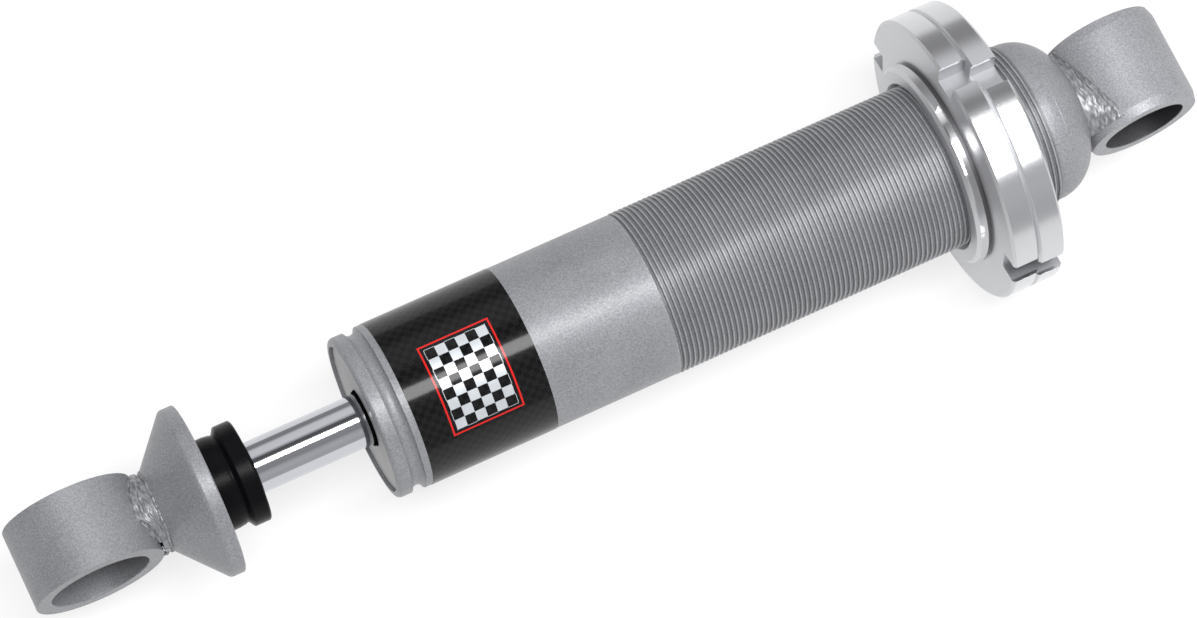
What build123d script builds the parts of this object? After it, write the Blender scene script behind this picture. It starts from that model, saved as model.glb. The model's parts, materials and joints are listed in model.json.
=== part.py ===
from build123d import *
import math
import os

# Gas shock absorber with a threaded body, in millimetres.
# The shock's axis is X. The origin is the centre of the body eye's bore, +X points from the rod
# eye to the body eye, and both eyes are bored along Y.

# Fits
RUNNING_FIT = 0.04
PISTON_PLAY = 0.30
STATIC_FIT = 0.02
SOFT_GAP = 0.30

# Body eye
BODY_EYE_OD = 35.6
BODY_EYE_BORE = 25.4
BODY_EYE_WIDTH = 31.75
BODY_EYE_TAPER_LENGTH = 3.0
BODY_EYE_TAPER_DEPTH = 0.8

# Rod eye
ROD_EYE_OD = 39.7
ROD_EYE_BORE = 30.2
ROD_EYE_WIDTH = 24.6
EYE_EDGE_BREAK = 0.25

# Domed end
DOME_STEP = 0.5
DOME_LENGTH = 15.6
DOME_STRAIGHT = 1.6
DOME_KNUCKLE = 14.0
DOME_INNER_KNUCKLE = 11.4
DOME_END_WALL = 3.2

# Body tube
TUBE_LENGTH = 216.4
TUBE_OD = 50.8
TUBE_WALL = 2.4
LIP_STEP = 0.2
LIP_ROUND = 1.4
GROOVE_FROM_MOUTH = 6.5
GROOVE_DEPTH = 1.75
GROOVE_WIDTH = 4.3
THREAD_RISE = 0.2
THREAD_PITCH = 25.4 / 16
THREAD_LENGTH = 126.0
THREAD_RELIEF_DEPTH = 0.4
THREAD_RELIEF_LENGTH = 0.6

# Seal head and what it carries
FACE_PLATE_RECESS = 1.2
FACE_PLATE_THICKNESS = 1.2
FACE_PLATE_CLEARANCE = 0.96
SEAL_HEAD_LENGTH = 23.0
STOP_RING_WIRE = 1.8
STOP_RING_GAP_ANGLE = 24.0
WIPER_WALL = 3.52
WIPER_POCKET_DEPTH = 5.0
WIPER_LIP_WALL = 0.62
ROD_SEAL_WALL = 4.52
ROD_SEAL_POCKET_LENGTH = 6.0
ROD_SEAL_FROM_WIPER = 1.6
BUSH_LENGTH = 9.0
BUSH_WALL = 1.5
HEAD_O_RING_DEPTH = 2.2
HEAD_O_RING_WIDTH = 3.6
HEAD_O_RING_FROM_FOOT = 9.0
HEAD_CHAMFER = 0.8

# Rod
ROD_DIAMETER = 15.875
STUD_DIAMETER = 12.7
ROD_CHAMFER = 0.8

# Seat cone on the rod
CONE_RIM_OD = 52.3
CONE_RIM_WIDTH = 4.4
CONE_RIM_CHAMFER = 0.4
CONE_LENGTH = 12.4
CONE_NECK_OD = 23.8
CONE_NECK_LENGTH = 2.2
WELD_ROOT = 0.4
ROD_WELD_OD = 25.4
ROD_WELD_WIDTH = 5.4

# Bump stop
BUMP_BODY_OD = 28.3
BUMP_BODY_LENGTH = 6.2
BUMP_WAIST_OD = 26.6
BUMP_WAIST_LENGTH = 1.1
BUMP_FLANGE_OD = 31.2
BUMP_FLANGE_LENGTH = 5.7
BUMP_ROUND = 0.8
BUMP_LIP_WALL = 1.84
BUMP_LIP_HEIGHT = 0.8
BUMP_SEAT_DEPTH = 0.5
BUMP_SEAT_CLEARANCE = 0.4

# How far the bump stop stands from the face plate in the photographed pose
REST_GAP = 36.0

# Rebound stop on the rod
BUMPER_OD = 30.0
BUMPER_LENGTH = 8.0
BUMPER_ROUND = 2.0
REBOUND_WASHER_OD = 32.0
REBOUND_WASHER_THICKNESS = 2.0
SNAP_RING_STANDS = 1.76
SNAP_RING_THICKNESS = 1.6
SNAP_RING_DEPTH = 0.95
SNAP_RING_GAP_ANGLE = 40.0
SNAP_RING_FROM_SHOULDER = 5.6

# Piston and its valves
PISTON_LENGTH = 16.0
PISTON_BAND_WIDTH = 9.0
PISTON_BAND_THICKNESS = 2.0
PISTON_CHAMFER = 0.8
PISTON_FACE_RECESS = 1.0
PISTON_HUB_OD = 17.0
SEAT_LAND_OD = 31.6
SEAT_LAND_WIDTH = 1.6
PORT_DIAMETER = 4.4
PORT_INNER_RADIUS = 11.6
PORT_OUTER_RADIUS = 18.4
PORTS_EACH_WAY = 4
SHIM_THICKNESS = 0.4
SHIM_DIAMETERS = (32.0, 28.0, 24.0, 20.0)
VALVE_STOP_OD = 22.0
VALVE_STOP_THICKNESS = 2.5
NUT_ACROSS_FLATS = 19.05
NUT_LENGTH = 10.0
STUD_PAST_NUT = 2.0

# Floating piston
FLOATING_LENGTH = 14.0
FLOATING_DISH_DIAMETER = 29.0
FLOATING_DISH_DEPTH = 7.0
FLOATING_BACK_DIAMETER = 30.0
FLOATING_BACK_DEPTH = 3.0
FLOATING_BAND_WIDTH = 4.0
FLOATING_BAND_THICKNESS = 1.6
FLOATING_O_RING_WIDTH = 4.0
FLOATING_O_RING_DEPTH = 2.8
FLOATING_GROOVE_LAND = 2.0
FLOATING_FROM_TUBE_FOOT = 2.6
STUD_FROM_DISH = 5.3

# Nuts on the thread
NUT_OD = 89.5
SEAT_NUT_FLANGE = 8.4
LOCK_NUT_WIDTH = 8.3
NUT_EDGE_CHAMFER = 0.8
NUT_BORE_CHAMFER = 1.2
PILOT_WALL = 5.96
PILOT_LENGTH = 4.8
PILOT_CHAMFER = 1.0
PILOT_UNDERCUT_WIDTH = 1.4
PILOT_UNDERCUT_DEPTH = 1.0
PILOT_UNDERCUT_SINK = 0.3
PILOT_UNDERCUT_REACH = 0.25
NOTCH_COUNT = 4
NOTCH_WIDTH = 8.3
NOTCH_DEPTH = 6.7
SEAT_NUT_TURNED = -13.7
LOCK_NUT_TURNED = -9.2
LOCK_NUT_FROM_TUBE_FOOT = 10.0

# Places along the axis, worked out from the body eye towards the rod eye
dome_end = -BODY_EYE_OD / 2
tube_foot = dome_end - DOME_LENGTH
tube_mouth = tube_foot - TUBE_LENGTH
groove_centre = tube_mouth + GROOVE_FROM_MOUTH
thread_foot = tube_foot - THREAD_RELIEF_LENGTH
thread_start = thread_foot - THREAD_LENGTH
plate_face = tube_mouth + FACE_PLATE_RECESS
head_face = plate_face + FACE_PLATE_THICKNESS
head_foot = head_face + SEAL_HEAD_LENGTH

bump_face = plate_face - REST_GAP - BUMP_LIP_HEIGHT
cone_face = bump_face - BUMP_FLANGE_LENGTH - BUMP_WAIST_LENGTH - BUMP_BODY_LENGTH
bump_seat = cone_face - BUMP_SEAT_DEPTH
cone_rim_back = cone_face - CONE_RIM_WIDTH
cone_neck = cone_rim_back - CONE_LENGTH
cone_end = cone_neck - CONE_NECK_LENGTH
rod_eye_centre = cone_end - WELD_ROOT - ROD_EYE_OD / 2

tube_bore = TUBE_OD - 2 * TUBE_WALL
oil_ratio = (ROD_DIAMETER / tube_bore) ** 2
floating_back = tube_foot - FLOATING_FROM_TUBE_FOOT
floating_face = floating_back - FLOATING_LENGTH
floating_rise = oil_ratio * REST_GAP
stud_end = floating_face + FLOATING_DISH_DEPTH + floating_rise - STUD_FROM_DISH - REST_GAP
piston_nut_back = stud_end - STUD_PAST_NUT
piston_nut_face = piston_nut_back - NUT_LENGTH
shim_stack = SHIM_THICKNESS * len(SHIM_DIAMETERS)
piston_back = piston_nut_face - VALVE_STOP_THICKNESS - shim_stack
piston_face = piston_back - PISTON_LENGTH
rod_shoulder = piston_face - shim_stack - VALVE_STOP_THICKNESS
snap_ring_back = rod_shoulder - SNAP_RING_FROM_SHOULDER
snap_ring_face = snap_ring_back - SNAP_RING_THICKNESS
bumper_back = snap_ring_face - REBOUND_WASHER_THICKNESS
bumper_face = bumper_back - BUMPER_LENGTH
rebound_travel = bumper_face - SOFT_GAP - head_foot

lock_nut_back = tube_foot - LOCK_NUT_FROM_TUBE_FOOT
nut_joint = lock_nut_back - LOCK_NUT_WIDTH
seat_face = nut_joint - SEAT_NUT_FLANGE
pilot_face = seat_face - PILOT_LENGTH
travel_to_relief = thread_foot - lock_nut_back

# Radii that several pieces share
tube_radius = TUBE_OD / 2
bore_radius = tube_bore / 2
lip_radius = tube_radius - LIP_STEP
crest_radius = tube_radius + THREAD_RISE
relief_radius = crest_radius - THREAD_RELIEF_DEPTH
dome_radius = tube_radius - DOME_STEP
rod_radius = ROD_DIAMETER / 2
stud_radius = STUD_DIAMETER / 2
running_radius = rod_radius + RUNNING_FIT
wiper_pocket_radius = running_radius + WIPER_WALL
rod_seal_pocket_radius = running_radius + ROD_SEAL_WALL
sliding_radius = bore_radius - RUNNING_FIT
piston_radius = bore_radius - PISTON_PLAY
nut_bore_radius = crest_radius + RUNNING_FIT
pilot_radius = nut_bore_radius + PILOT_WALL
rolled_radius = ((GROOVE_WIDTH / 2) ** 2 + GROOVE_DEPTH**2) / (2 * GROOVE_DEPTH)
rolled_centre = tube_radius - GROOVE_DEPTH + rolled_radius


def region(*points):
    """A flat region from (place along the axis, radius) points."""
    return make_face(Polyline(*points, close=True))


def band(start, end, outer, inner=0.0):
    """The half section of a plain ring or disc between two places on the axis."""
    return region((start, inner), (start, outer), (end, outer), (end, inner))


def disc(place, radius, centre_radius):
    """A round region, for grooves and beads in a half section."""
    return Pos(place, centre_radius) * Circle(radius)


def turned(section):
    """The solid that a half section makes when it is turned about the shock's axis."""
    return revolve(section, Axis.X)


def ring(start, end, outer, inner):
    """A plain ring on the shock's axis."""
    return turned(band(start, end, outer, inner))


def about_axis(angle):
    """A turn about the shock's axis, in degrees."""
    return Rot(angle, 0, 0)


def ring_gap(start, end, outer, angle):
    """The block that opens a turned ring into a snap ring."""
    width = 2 * outer * math.sin(math.radians(angle / 2))
    block = Box(end - start, width, outer, align=(Align.MIN, Align.CENTER, Align.MIN))
    return Pos(start, 0, 0) * block


# Mounting eyes and their welds
def cross_tube(centre, outer, bore, width):
    """An eye bored along Y, with broken edges at its bore."""
    face = Plane.XZ * (Circle(outer / 2) - Circle(bore / 2))
    tube = Pos(centre, 0, 0) * extrude(face, width / 2, both=True)
    bore_edges = tube.edges().filter_by(GeomType.CIRCLE)
    bore_edges = bore_edges.filter_by(lambda edge: abs(edge.radius - bore / 2) < STATIC_FIT)
    return chamfer(bore_edges, EYE_EDGE_BREAK)


def eye_body(centre, outer, width):
    """The eye's outside, for cutting a weld to it."""
    return Pos(centre, 0, 0) * Rot(90, 0, 0) * Cylinder(outer / 2, width)


def body_eye():
    """The lower eye, with a slight taper at both ends."""
    tube = cross_tube(0, BODY_EYE_OD, BODY_EYE_BORE, BODY_EYE_WIDTH)
    rims = tube.edges().filter_by(GeomType.CIRCLE)
    rims = rims.filter_by(lambda edge: abs(edge.radius - BODY_EYE_OD / 2) < STATIC_FIT)
    faces = tube.faces().filter_by(Axis.Y)
    for face in faces:
        mine = [edge for edge in rims if edge in face.edges()]
        tube = chamfer(mine, BODY_EYE_TAPER_DEPTH, BODY_EYE_TAPER_LENGTH, reference=face)
    return tube


def rod_eye():
    """The upper eye, with plain ends."""
    return cross_tube(rod_eye_centre, ROD_EYE_OD, ROD_EYE_BORE, ROD_EYE_WIDTH)


def body_eye_weld():
    """Two fillet welds along the eye, above and below it."""
    reach = BODY_EYE_OD / 2
    section = Polyline(
        (dome_end - 2.6, 0.2 * reach),
        (dome_end - 2.6, 0.70 * reach),
        (dome_end - 0.4, 0.80 * reach),
        (-0.76 * reach, 0.94 * reach),
        (-0.50 * reach, 0.90 * reach),
        (-0.50 * reach, 0.2 * reach),
        close=True,
    )
    length = BODY_EYE_WIDTH - 2 * BODY_EYE_TAPER_LENGTH
    bead = extrude(Plane.XZ * make_face(section), length / 2, both=True)
    bead = bead - eye_body(0, BODY_EYE_OD, BODY_EYE_WIDTH) - turned(dome_outline())
    return Compound(label="body_eye_weld", children=[bead.solid(), mirror(bead, Plane.XY).solid()])


def rod_eye_weld():
    """The weld that fills between the seat cone's neck and the round of the rod eye."""
    back = cone_end - ROD_WELD_WIDTH
    section = region(
        (back, 0),
        (back, 0.88 * ROD_WELD_OD / 2),
        (back + 0.35 * ROD_WELD_WIDTH, ROD_WELD_OD / 2),
        (back + 0.80 * ROD_WELD_WIDTH, ROD_WELD_OD / 2),
        (cone_end, CONE_NECK_OD / 2),
        (cone_end, 0),
    )
    bead = turned(section) - eye_body(rod_eye_centre, ROD_EYE_OD, ROD_EYE_WIDTH + ROD_WELD_OD)
    return bead.solids().sort_by(Axis.X)[-1]


# Body tube and domed end
def dome_outline():
    """The dome's outside: a straight skirt, a round knuckle and a flat end."""
    knuckle_start = tube_foot + DOME_STRAIGHT
    skirt = band(tube_foot, knuckle_start, dome_radius)
    core = band(knuckle_start, dome_end, dome_radius - DOME_KNUCKLE)
    knuckle = disc(knuckle_start, DOME_KNUCKLE, dome_radius - DOME_KNUCKLE)
    return (skirt + core + knuckle) & band(tube_foot, dome_end, dome_radius)


def dome_hollow():
    """The gas space inside the dome."""
    knuckle_start = tube_foot + DOME_STRAIGHT
    end = dome_end - DOME_END_WALL
    skirt = band(tube_foot, knuckle_start, bore_radius)
    core = band(knuckle_start, end, bore_radius - DOME_INNER_KNUCKLE)
    knuckle = disc(knuckle_start, DOME_INNER_KNUCKLE, bore_radius - DOME_INNER_KNUCKLE)
    return (skirt + core + knuckle) & band(tube_foot, end, bore_radius)


def end_dome():
    """The turned end that closes the tube."""
    return turned(dome_outline() - dome_hollow())


def rolled_bead(extra=0.0):
    """The bead that the rolled groove pushes into the bore."""
    return disc(groove_centre, rolled_radius + TUBE_WALL + extra, rolled_centre)


def body_tube():
    """The tube: a lip, the rolled groove that holds the seal head, and the thread's plain blank."""
    outside = region(
        (tube_mouth, 0),
        (tube_mouth, lip_radius),
        (groove_centre, lip_radius),
        (groove_centre, tube_radius),
        (thread_start - THREAD_RISE, tube_radius),
        (thread_start, crest_radius),
        (thread_foot, crest_radius),
        (thread_foot + THREAD_RELIEF_DEPTH, relief_radius),
        (tube_foot, relief_radius),
        (tube_foot, 0),
    )
    lip_corner = outside.vertices().sort_by_distance((tube_mouth, lip_radius))[0]
    outside = fillet(lip_corner, LIP_ROUND)
    outside -= disc(groove_centre, rolled_radius, rolled_centre)
    hollow = band(tube_mouth, tube_foot, bore_radius) - rolled_bead()
    tube = turned(outside - hollow)
    ring_seat = ring(head_foot, head_foot + STOP_RING_WIRE, bore_radius + STOP_RING_WIRE / 2, 0)
    return tube - ring_seat


# Seal head
def seal_pockets():
    """The head's bore with its pockets for wiper, rod seal and bush."""
    wiper_floor = head_face + WIPER_POCKET_DEPTH
    seal_start = wiper_floor + ROD_SEAL_FROM_WIPER
    seal_end = seal_start + ROD_SEAL_POCKET_LENGTH
    through = band(head_face, head_foot, rod_radius + SOFT_GAP)
    wiper = band(head_face, wiper_floor, wiper_pocket_radius)
    seal = band(seal_start, seal_end, rod_seal_pocket_radius)
    bush = band(head_foot - BUSH_LENGTH, head_foot, running_radius + BUSH_WALL)
    return through + wiper + seal + bush


def seal_head():
    """The rod guide, grooved for the tube's bead and for its own seal."""
    radius = bore_radius - STATIC_FIT
    outline = band(head_face, head_foot, radius)
    corners = outline.vertices().filter_by(lambda corner: corner.Y > radius / 2)
    outline = chamfer(corners, HEAD_CHAMFER)
    groove_start = head_foot - HEAD_O_RING_FROM_FOOT - HEAD_O_RING_WIDTH
    groove = band(
        groove_start,
        groove_start + HEAD_O_RING_WIDTH,
        bore_radius,
        bore_radius - HEAD_O_RING_DEPTH,
    )
    return turned(outline - rolled_bead(STATIC_FIT) - groove - seal_pockets())


def head_o_ring():
    """The seal between the head and the tube, squeezed in its groove."""
    start = head_foot - HEAD_O_RING_FROM_FOOT - HEAD_O_RING_WIDTH + SOFT_GAP
    end = head_foot - HEAD_O_RING_FROM_FOOT - SOFT_GAP
    section = band(start, end, bore_radius - STATIC_FIT, bore_radius - HEAD_O_RING_DEPTH + STATIC_FIT)
    return turned(chamfer(section.vertices(), SOFT_GAP))


def face_plate():
    """The plain cover that keeps the wiper in the head."""
    plate_bore = rod_radius + FACE_PLATE_CLEARANCE
    plate = ring(plate_face, head_face, bore_radius - STATIC_FIT, plate_bore)
    rim = plate.faces().sort_by(Axis.X)[0].edges().sort_by(SortBy.RADIUS)[-1]
    return chamfer(rim, FACE_PLATE_THICKNESS / 3)


def wiper_seal():
    """The scraper: a body in its pocket and a lip that shows round the rod."""
    end = head_face + WIPER_POCKET_DEPTH - SOFT_GAP
    inner = running_radius
    outer = wiper_pocket_radius - STATIC_FIT
    section = region(
        (plate_face, inner),
        (plate_face, inner + STATIC_FIT),
        (head_face, inner + WIPER_LIP_WALL),
        (head_face, outer),
        (end, outer),
        (end, inner + BUSH_WALL),
        (end - 0.4 * WIPER_POCKET_DEPTH, inner + BUSH_WALL),
        (end - 0.6 * WIPER_POCKET_DEPTH, inner),
    )
    return turned(section)


def rod_seal():
    """The U-shaped lip seal, open towards the oil."""
    start = head_face + WIPER_POCKET_DEPTH + ROD_SEAL_FROM_WIPER + SOFT_GAP
    end = start + ROD_SEAL_POCKET_LENGTH - 2 * SOFT_GAP
    inner = running_radius
    outer = rod_seal_pocket_radius - STATIC_FIT
    lip = (outer - inner) / 3
    section = region(
        (start, inner),
        (start, outer),
        (end, outer),
        (end, outer - lip),
        ((start + end) / 2, (inner + outer) / 2),
        (end, inner + lip),
        (end, inner),
    )
    return turned(section)


def guide_bush():
    """The plain bearing pressed in the head's inner end."""
    outer = running_radius + BUSH_WALL - STATIC_FIT
    return ring(head_foot - BUSH_LENGTH, head_foot, outer, running_radius)


def head_stop_ring():
    """The wire ring in the tube's bore that the head rests on."""
    outer = bore_radius + STOP_RING_WIRE / 2 - STATIC_FIT
    end = head_foot + STOP_RING_WIRE
    whole = ring(head_foot, end, outer, outer - STOP_RING_WIRE)
    return whole - ring_gap(head_foot, end, outer, STOP_RING_GAP_ANGLE)


# Rod and what is fixed on it
def piston_rod():
    """The rod, with its snap ring groove and the stud that carries the piston."""
    outline = region(
        (cone_end, 0),
        (cone_end, rod_radius),
        (rod_shoulder, rod_radius),
        (rod_shoulder, stud_radius),
        (stud_end - ROD_CHAMFER, stud_radius),
        (stud_end, stud_radius - ROD_CHAMFER),
        (stud_end, 0),
    )
    groove = band(snap_ring_face, snap_ring_back, ROD_DIAMETER, rod_radius - SNAP_RING_DEPTH)
    return turned(outline - groove)


def seat_cone():
    """The turned cone screwed on the rod. An upper spring cup rests on its face and centres on
    its rim, and the bump stop sits in a shallow recess."""
    bore = rod_radius + STATIC_FIT
    rim = CONE_RIM_OD / 2
    recess = BUMP_FLANGE_OD / 2 + BUMP_SEAT_CLEARANCE
    section = region(
        (cone_end, bore),
        (cone_end, CONE_NECK_OD / 2),
        (cone_neck, CONE_NECK_OD / 2),
        (cone_rim_back - CONE_RIM_CHAMFER, rim - CONE_RIM_CHAMFER),
        (cone_rim_back + CONE_RIM_CHAMFER, rim),
        (cone_face - CONE_RIM_CHAMFER, rim),
        (cone_face, rim - CONE_RIM_CHAMFER),
        (cone_face, recess),
        (bump_seat, recess),
        (bump_seat, bore),
    )
    return turned(section)


def bump_stop():
    """The rubber stop: a body against the cone, a waist and a flange with a small lip."""
    bore = rod_radius + STATIC_FIT
    waist_start = cone_face + BUMP_BODY_LENGTH
    flange_start = waist_start + BUMP_WAIST_LENGTH
    flange = band(flange_start, bump_face, BUMP_FLANGE_OD / 2)
    rounded = flange.vertices().filter_by(lambda corner: corner.Y > BUMP_FLANGE_OD / 4)
    section = band(bump_seat, waist_start, BUMP_BODY_OD / 2)
    section += band(waist_start, flange_start, BUMP_WAIST_OD / 2)
    section += fillet(rounded, BUMP_ROUND)
    section += band(bump_face, bump_face + BUMP_LIP_HEIGHT, bore + BUMP_LIP_WALL)
    return turned(section - band(bump_seat, plate_face, bore))


def rebound_bumper():
    """The rubber ring that meets the seal head at full extension."""
    section = band(bumper_face, bumper_back, BUMPER_OD / 2, rod_radius + STATIC_FIT)
    corner = section.vertices().sort_by_distance((bumper_face, BUMPER_OD / 2))[0]
    return turned(fillet(corner, BUMPER_ROUND))


def rebound_washer():
    """The washer behind the rebound bumper."""
    return ring(bumper_back, snap_ring_face, REBOUND_WASHER_OD / 2, rod_radius + STATIC_FIT)


def rebound_ring():
    """The snap ring in the rod's groove."""
    inner = rod_radius - SNAP_RING_DEPTH + STATIC_FIT
    outer = rod_radius + SNAP_RING_STANDS
    whole = ring(snap_ring_face, snap_ring_back, outer, inner)
    return whole - ring_gap(snap_ring_face, snap_ring_back, outer, SNAP_RING_GAP_ANGLE)


# Piston and its valves
def slanted_port(start_radius, end_radius):
    """A port drilled through the piston from one radius to another."""
    start = Vector(piston_face - PORT_DIAMETER, 0, start_radius)
    end = Vector(piston_back + PORT_DIAMETER, 0, end_radius)
    slope = (end_radius - start_radius) / PISTON_LENGTH
    start.Z -= slope * PORT_DIAMETER
    end.Z += slope * PORT_DIAMETER
    drill = Plane(origin=start, z_dir=end - start)
    return extrude(drill * Circle(PORT_DIAMETER / 2), (end - start).length)


def piston_recess(face, inward):
    """The ground between hub and seat land, and outside the land, on one face of the piston."""
    floor = face + inward * PISTON_FACE_RECESS
    land = SEAT_LAND_OD / 2
    low, high = sorted((face, floor))
    inside = band(low, high, land - SEAT_LAND_WIDTH, PISTON_HUB_OD / 2)
    return inside + band(low, high, piston_radius - SEAT_LAND_WIDTH, land)


def piston():
    """The valved piston: seat lands on both faces and ports slanted both ways between them."""
    middle = (piston_face + piston_back) / 2
    half = PISTON_BAND_WIDTH / 2 + RUNNING_FIT
    outline = band(piston_face, piston_back, piston_radius)
    corners = outline.vertices().filter_by(lambda corner: corner.Y > piston_radius / 2)
    outline = chamfer(corners, PISTON_CHAMFER)
    floor = sliding_radius - PISTON_BAND_THICKNESS - RUNNING_FIT
    outline -= band(middle - half, middle + half, bore_radius, floor)
    outline -= piston_recess(piston_face, 1) + piston_recess(piston_back, -1)
    outline -= band(piston_face, piston_back, stud_radius + STATIC_FIT)
    body = turned(outline)
    step = 360 / PORTS_EACH_WAY
    outward = slanted_port(PORT_INNER_RADIUS, PORT_OUTER_RADIUS)
    inward = slanted_port(PORT_OUTER_RADIUS, PORT_INNER_RADIUS)
    for index in range(PORTS_EACH_WAY):
        body -= about_axis(index * step) * outward
        body -= about_axis((index + 0.5) * step) * inward
    return body


def piston_band():
    """The slide band round the piston."""
    middle = (piston_face + piston_back) / 2
    half = PISTON_BAND_WIDTH / 2
    return ring(middle - half, middle + half, sliding_radius, sliding_radius - PISTON_BAND_THICKNESS)


def shims(name, face, outward):
    """A stack of valve discs, the widest against the piston."""
    discs = []
    for index, diameter in enumerate(SHIM_DIAMETERS):
        near = face + outward * index * SHIM_THICKNESS
        low, high = sorted((near, near + outward * SHIM_THICKNESS))
        discs.append(ring(low, high, diameter / 2, stud_radius + STATIC_FIT).solid())
    return Compound(label=name, children=discs)


def valve_stop(start):
    """The thick washer behind a stack of valve discs."""
    end = start + VALVE_STOP_THICKNESS
    return ring(start, end, VALVE_STOP_OD / 2, stud_radius + STATIC_FIT)


def piston_nut():
    """The hexagon nut that clamps the valves and the piston."""
    blank = RegularPolygon(NUT_ACROSS_FLATS / 2, 6, major_radius=False) - Circle(stud_radius + STATIC_FIT)
    nut = extrude(Plane(origin=(piston_nut_face, 0, 0), z_dir=(1, 0, 0)) * blank, NUT_LENGTH)
    corner = NUT_ACROSS_FLATS / math.sqrt(3)
    flat = NUT_ACROSS_FLATS / 2
    slope = corner - flat
    crown = region(
        (piston_nut_face, 0),
        (piston_nut_face, corner),
        (piston_nut_back - slope / 2, corner),
        (piston_nut_back, flat),
        (piston_nut_back, 0),
    )
    return nut & turned(crown)


# Gas end
def floating_piston():
    """The piston between oil and gas, dished on its oil side to make room for the nut."""
    outline = band(floating_face, floating_back, piston_radius)
    corners = outline.vertices().filter_by(lambda corner: corner.Y > piston_radius / 2)
    outline = chamfer(corners, PISTON_CHAMFER)
    dish_floor = floating_face + FLOATING_DISH_DEPTH
    outline -= band(floating_face, dish_floor, FLOATING_DISH_DIAMETER / 2)
    outline -= band(floating_back - FLOATING_BACK_DEPTH, floating_back, FLOATING_BACK_DIAMETER / 2)
    band_start = floating_face + FLOATING_GROOVE_LAND
    outline -= band(
        band_start,
        band_start + FLOATING_BAND_WIDTH,
        bore_radius,
        sliding_radius - FLOATING_BAND_THICKNESS - STATIC_FIT,
    )
    ring_end = floating_back - FLOATING_GROOVE_LAND
    outline -= band(
        ring_end - FLOATING_O_RING_WIDTH,
        ring_end,
        bore_radius,
        sliding_radius - FLOATING_O_RING_DEPTH - STATIC_FIT,
    )
    return turned(outline)


def floating_piston_band():
    """The floating piston's slide band."""
    start = floating_face + FLOATING_GROOVE_LAND + STATIC_FIT
    end = start + FLOATING_BAND_WIDTH - 2 * STATIC_FIT
    return ring(start, end, sliding_radius, sliding_radius - FLOATING_BAND_THICKNESS)


def floating_piston_o_ring():
    """The floating piston's seal."""
    end = floating_back - FLOATING_GROOVE_LAND - SOFT_GAP
    start = end - FLOATING_O_RING_WIDTH + 2 * SOFT_GAP
    section = band(start, end, sliding_radius, sliding_radius - FLOATING_O_RING_DEPTH)
    return turned(chamfer(section.vertices(), SOFT_GAP))


# Nuts on the thread
def notched(nut, start, end, turned_by):
    """Mills the spanner notches into a nut's rim."""
    width = end - start
    block = Box(width, NOTCH_WIDTH, NOTCH_DEPTH, align=(Align.MIN, Align.CENTER, Align.MIN))
    cutter = Pos(start, 0, NUT_OD / 2 - NOTCH_DEPTH) * block
    for index in range(NOTCH_COUNT):
        nut -= about_axis(turned_by + index * 360 / NOTCH_COUNT) * cutter
    return nut


def spring_seat_nut():
    """The nut that carries the spring: a flange, and a pilot boss with an undercut at its root."""
    rim = NUT_OD / 2
    undercut_start = seat_face - PILOT_UNDERCUT_WIDTH
    undercut_end = seat_face + PILOT_UNDERCUT_SINK
    section = region(
        (pilot_face, nut_bore_radius + NUT_BORE_CHAMFER),
        (pilot_face, pilot_radius - PILOT_CHAMFER),
        (pilot_face + PILOT_CHAMFER, pilot_radius),
        (undercut_start, pilot_radius),
        (undercut_start, pilot_radius - PILOT_UNDERCUT_DEPTH),
        (undercut_end, pilot_radius - PILOT_UNDERCUT_DEPTH),
        (undercut_end, pilot_radius + PILOT_UNDERCUT_REACH),
        (seat_face, pilot_radius + PILOT_UNDERCUT_REACH),
        (seat_face, rim - NUT_EDGE_CHAMFER),
        (seat_face + NUT_EDGE_CHAMFER, rim),
        (nut_joint - NUT_EDGE_CHAMFER, rim),
        (nut_joint, rim - NUT_EDGE_CHAMFER),
        (nut_joint, nut_bore_radius),
        (pilot_face + NUT_BORE_CHAMFER, nut_bore_radius),
    )
    return notched(turned(section), seat_face, nut_joint, SEAT_NUT_TURNED)


def lock_nut():
    """The nut that is tightened against the seat nut."""
    rim = NUT_OD / 2
    section = region(
        (nut_joint, nut_bore_radius),
        (nut_joint, rim - NUT_EDGE_CHAMFER),
        (nut_joint + NUT_EDGE_CHAMFER, rim),
        (lock_nut_back - NUT_EDGE_CHAMFER, rim),
        (lock_nut_back, rim - NUT_EDGE_CHAMFER),
        (lock_nut_back, nut_bore_radius + NUT_BORE_CHAMFER),
        (lock_nut_back - NUT_BORE_CHAMFER, nut_bore_radius),
    )
    return notched(turned(section), nut_joint, lock_nut_back, LOCK_NUT_TURNED)


pieces = {
    "body_tube": body_tube(),
    "end_dome": end_dome(),
    "body_eye": body_eye(),
    "body_eye_weld": body_eye_weld(),
    "seal_head": seal_head(),
    "face_plate": face_plate(),
    "wiper_seal": wiper_seal(),
    "rod_seal": rod_seal(),
    "guide_bush": guide_bush(),
    "head_o_ring": head_o_ring(),
    "head_stop_ring": head_stop_ring(),
    "piston_rod": piston_rod(),
    "rod_eye": rod_eye(),
    "rod_eye_weld": rod_eye_weld(),
    "seat_cone": seat_cone(),
    "bump_stop": bump_stop(),
    "rebound_bumper": rebound_bumper(),
    "rebound_washer": rebound_washer(),
    "rebound_ring": rebound_ring(),
    "compression_stop": valve_stop(rod_shoulder),
    "compression_shims": shims("compression_shims", piston_face, -1),
    "piston": piston(),
    "rebound_shims": shims("rebound_shims", piston_back, 1),
    "rebound_stop": valve_stop(piston_back + shim_stack),
    "piston_nut": piston_nut(),
    "piston_band": piston_band(),
    "floating_piston": floating_piston(),
    "floating_piston_o_ring": floating_piston_o_ring(),
    "floating_piston_band": floating_piston_band(),
    "spring_seat_nut": spring_seat_nut(),
    "lock_nut": lock_nut(),
}

os.makedirs("parts", exist_ok=True)
for node, shape in pieces.items():
    export_step(shape, f"parts/{node}.step")

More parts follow.
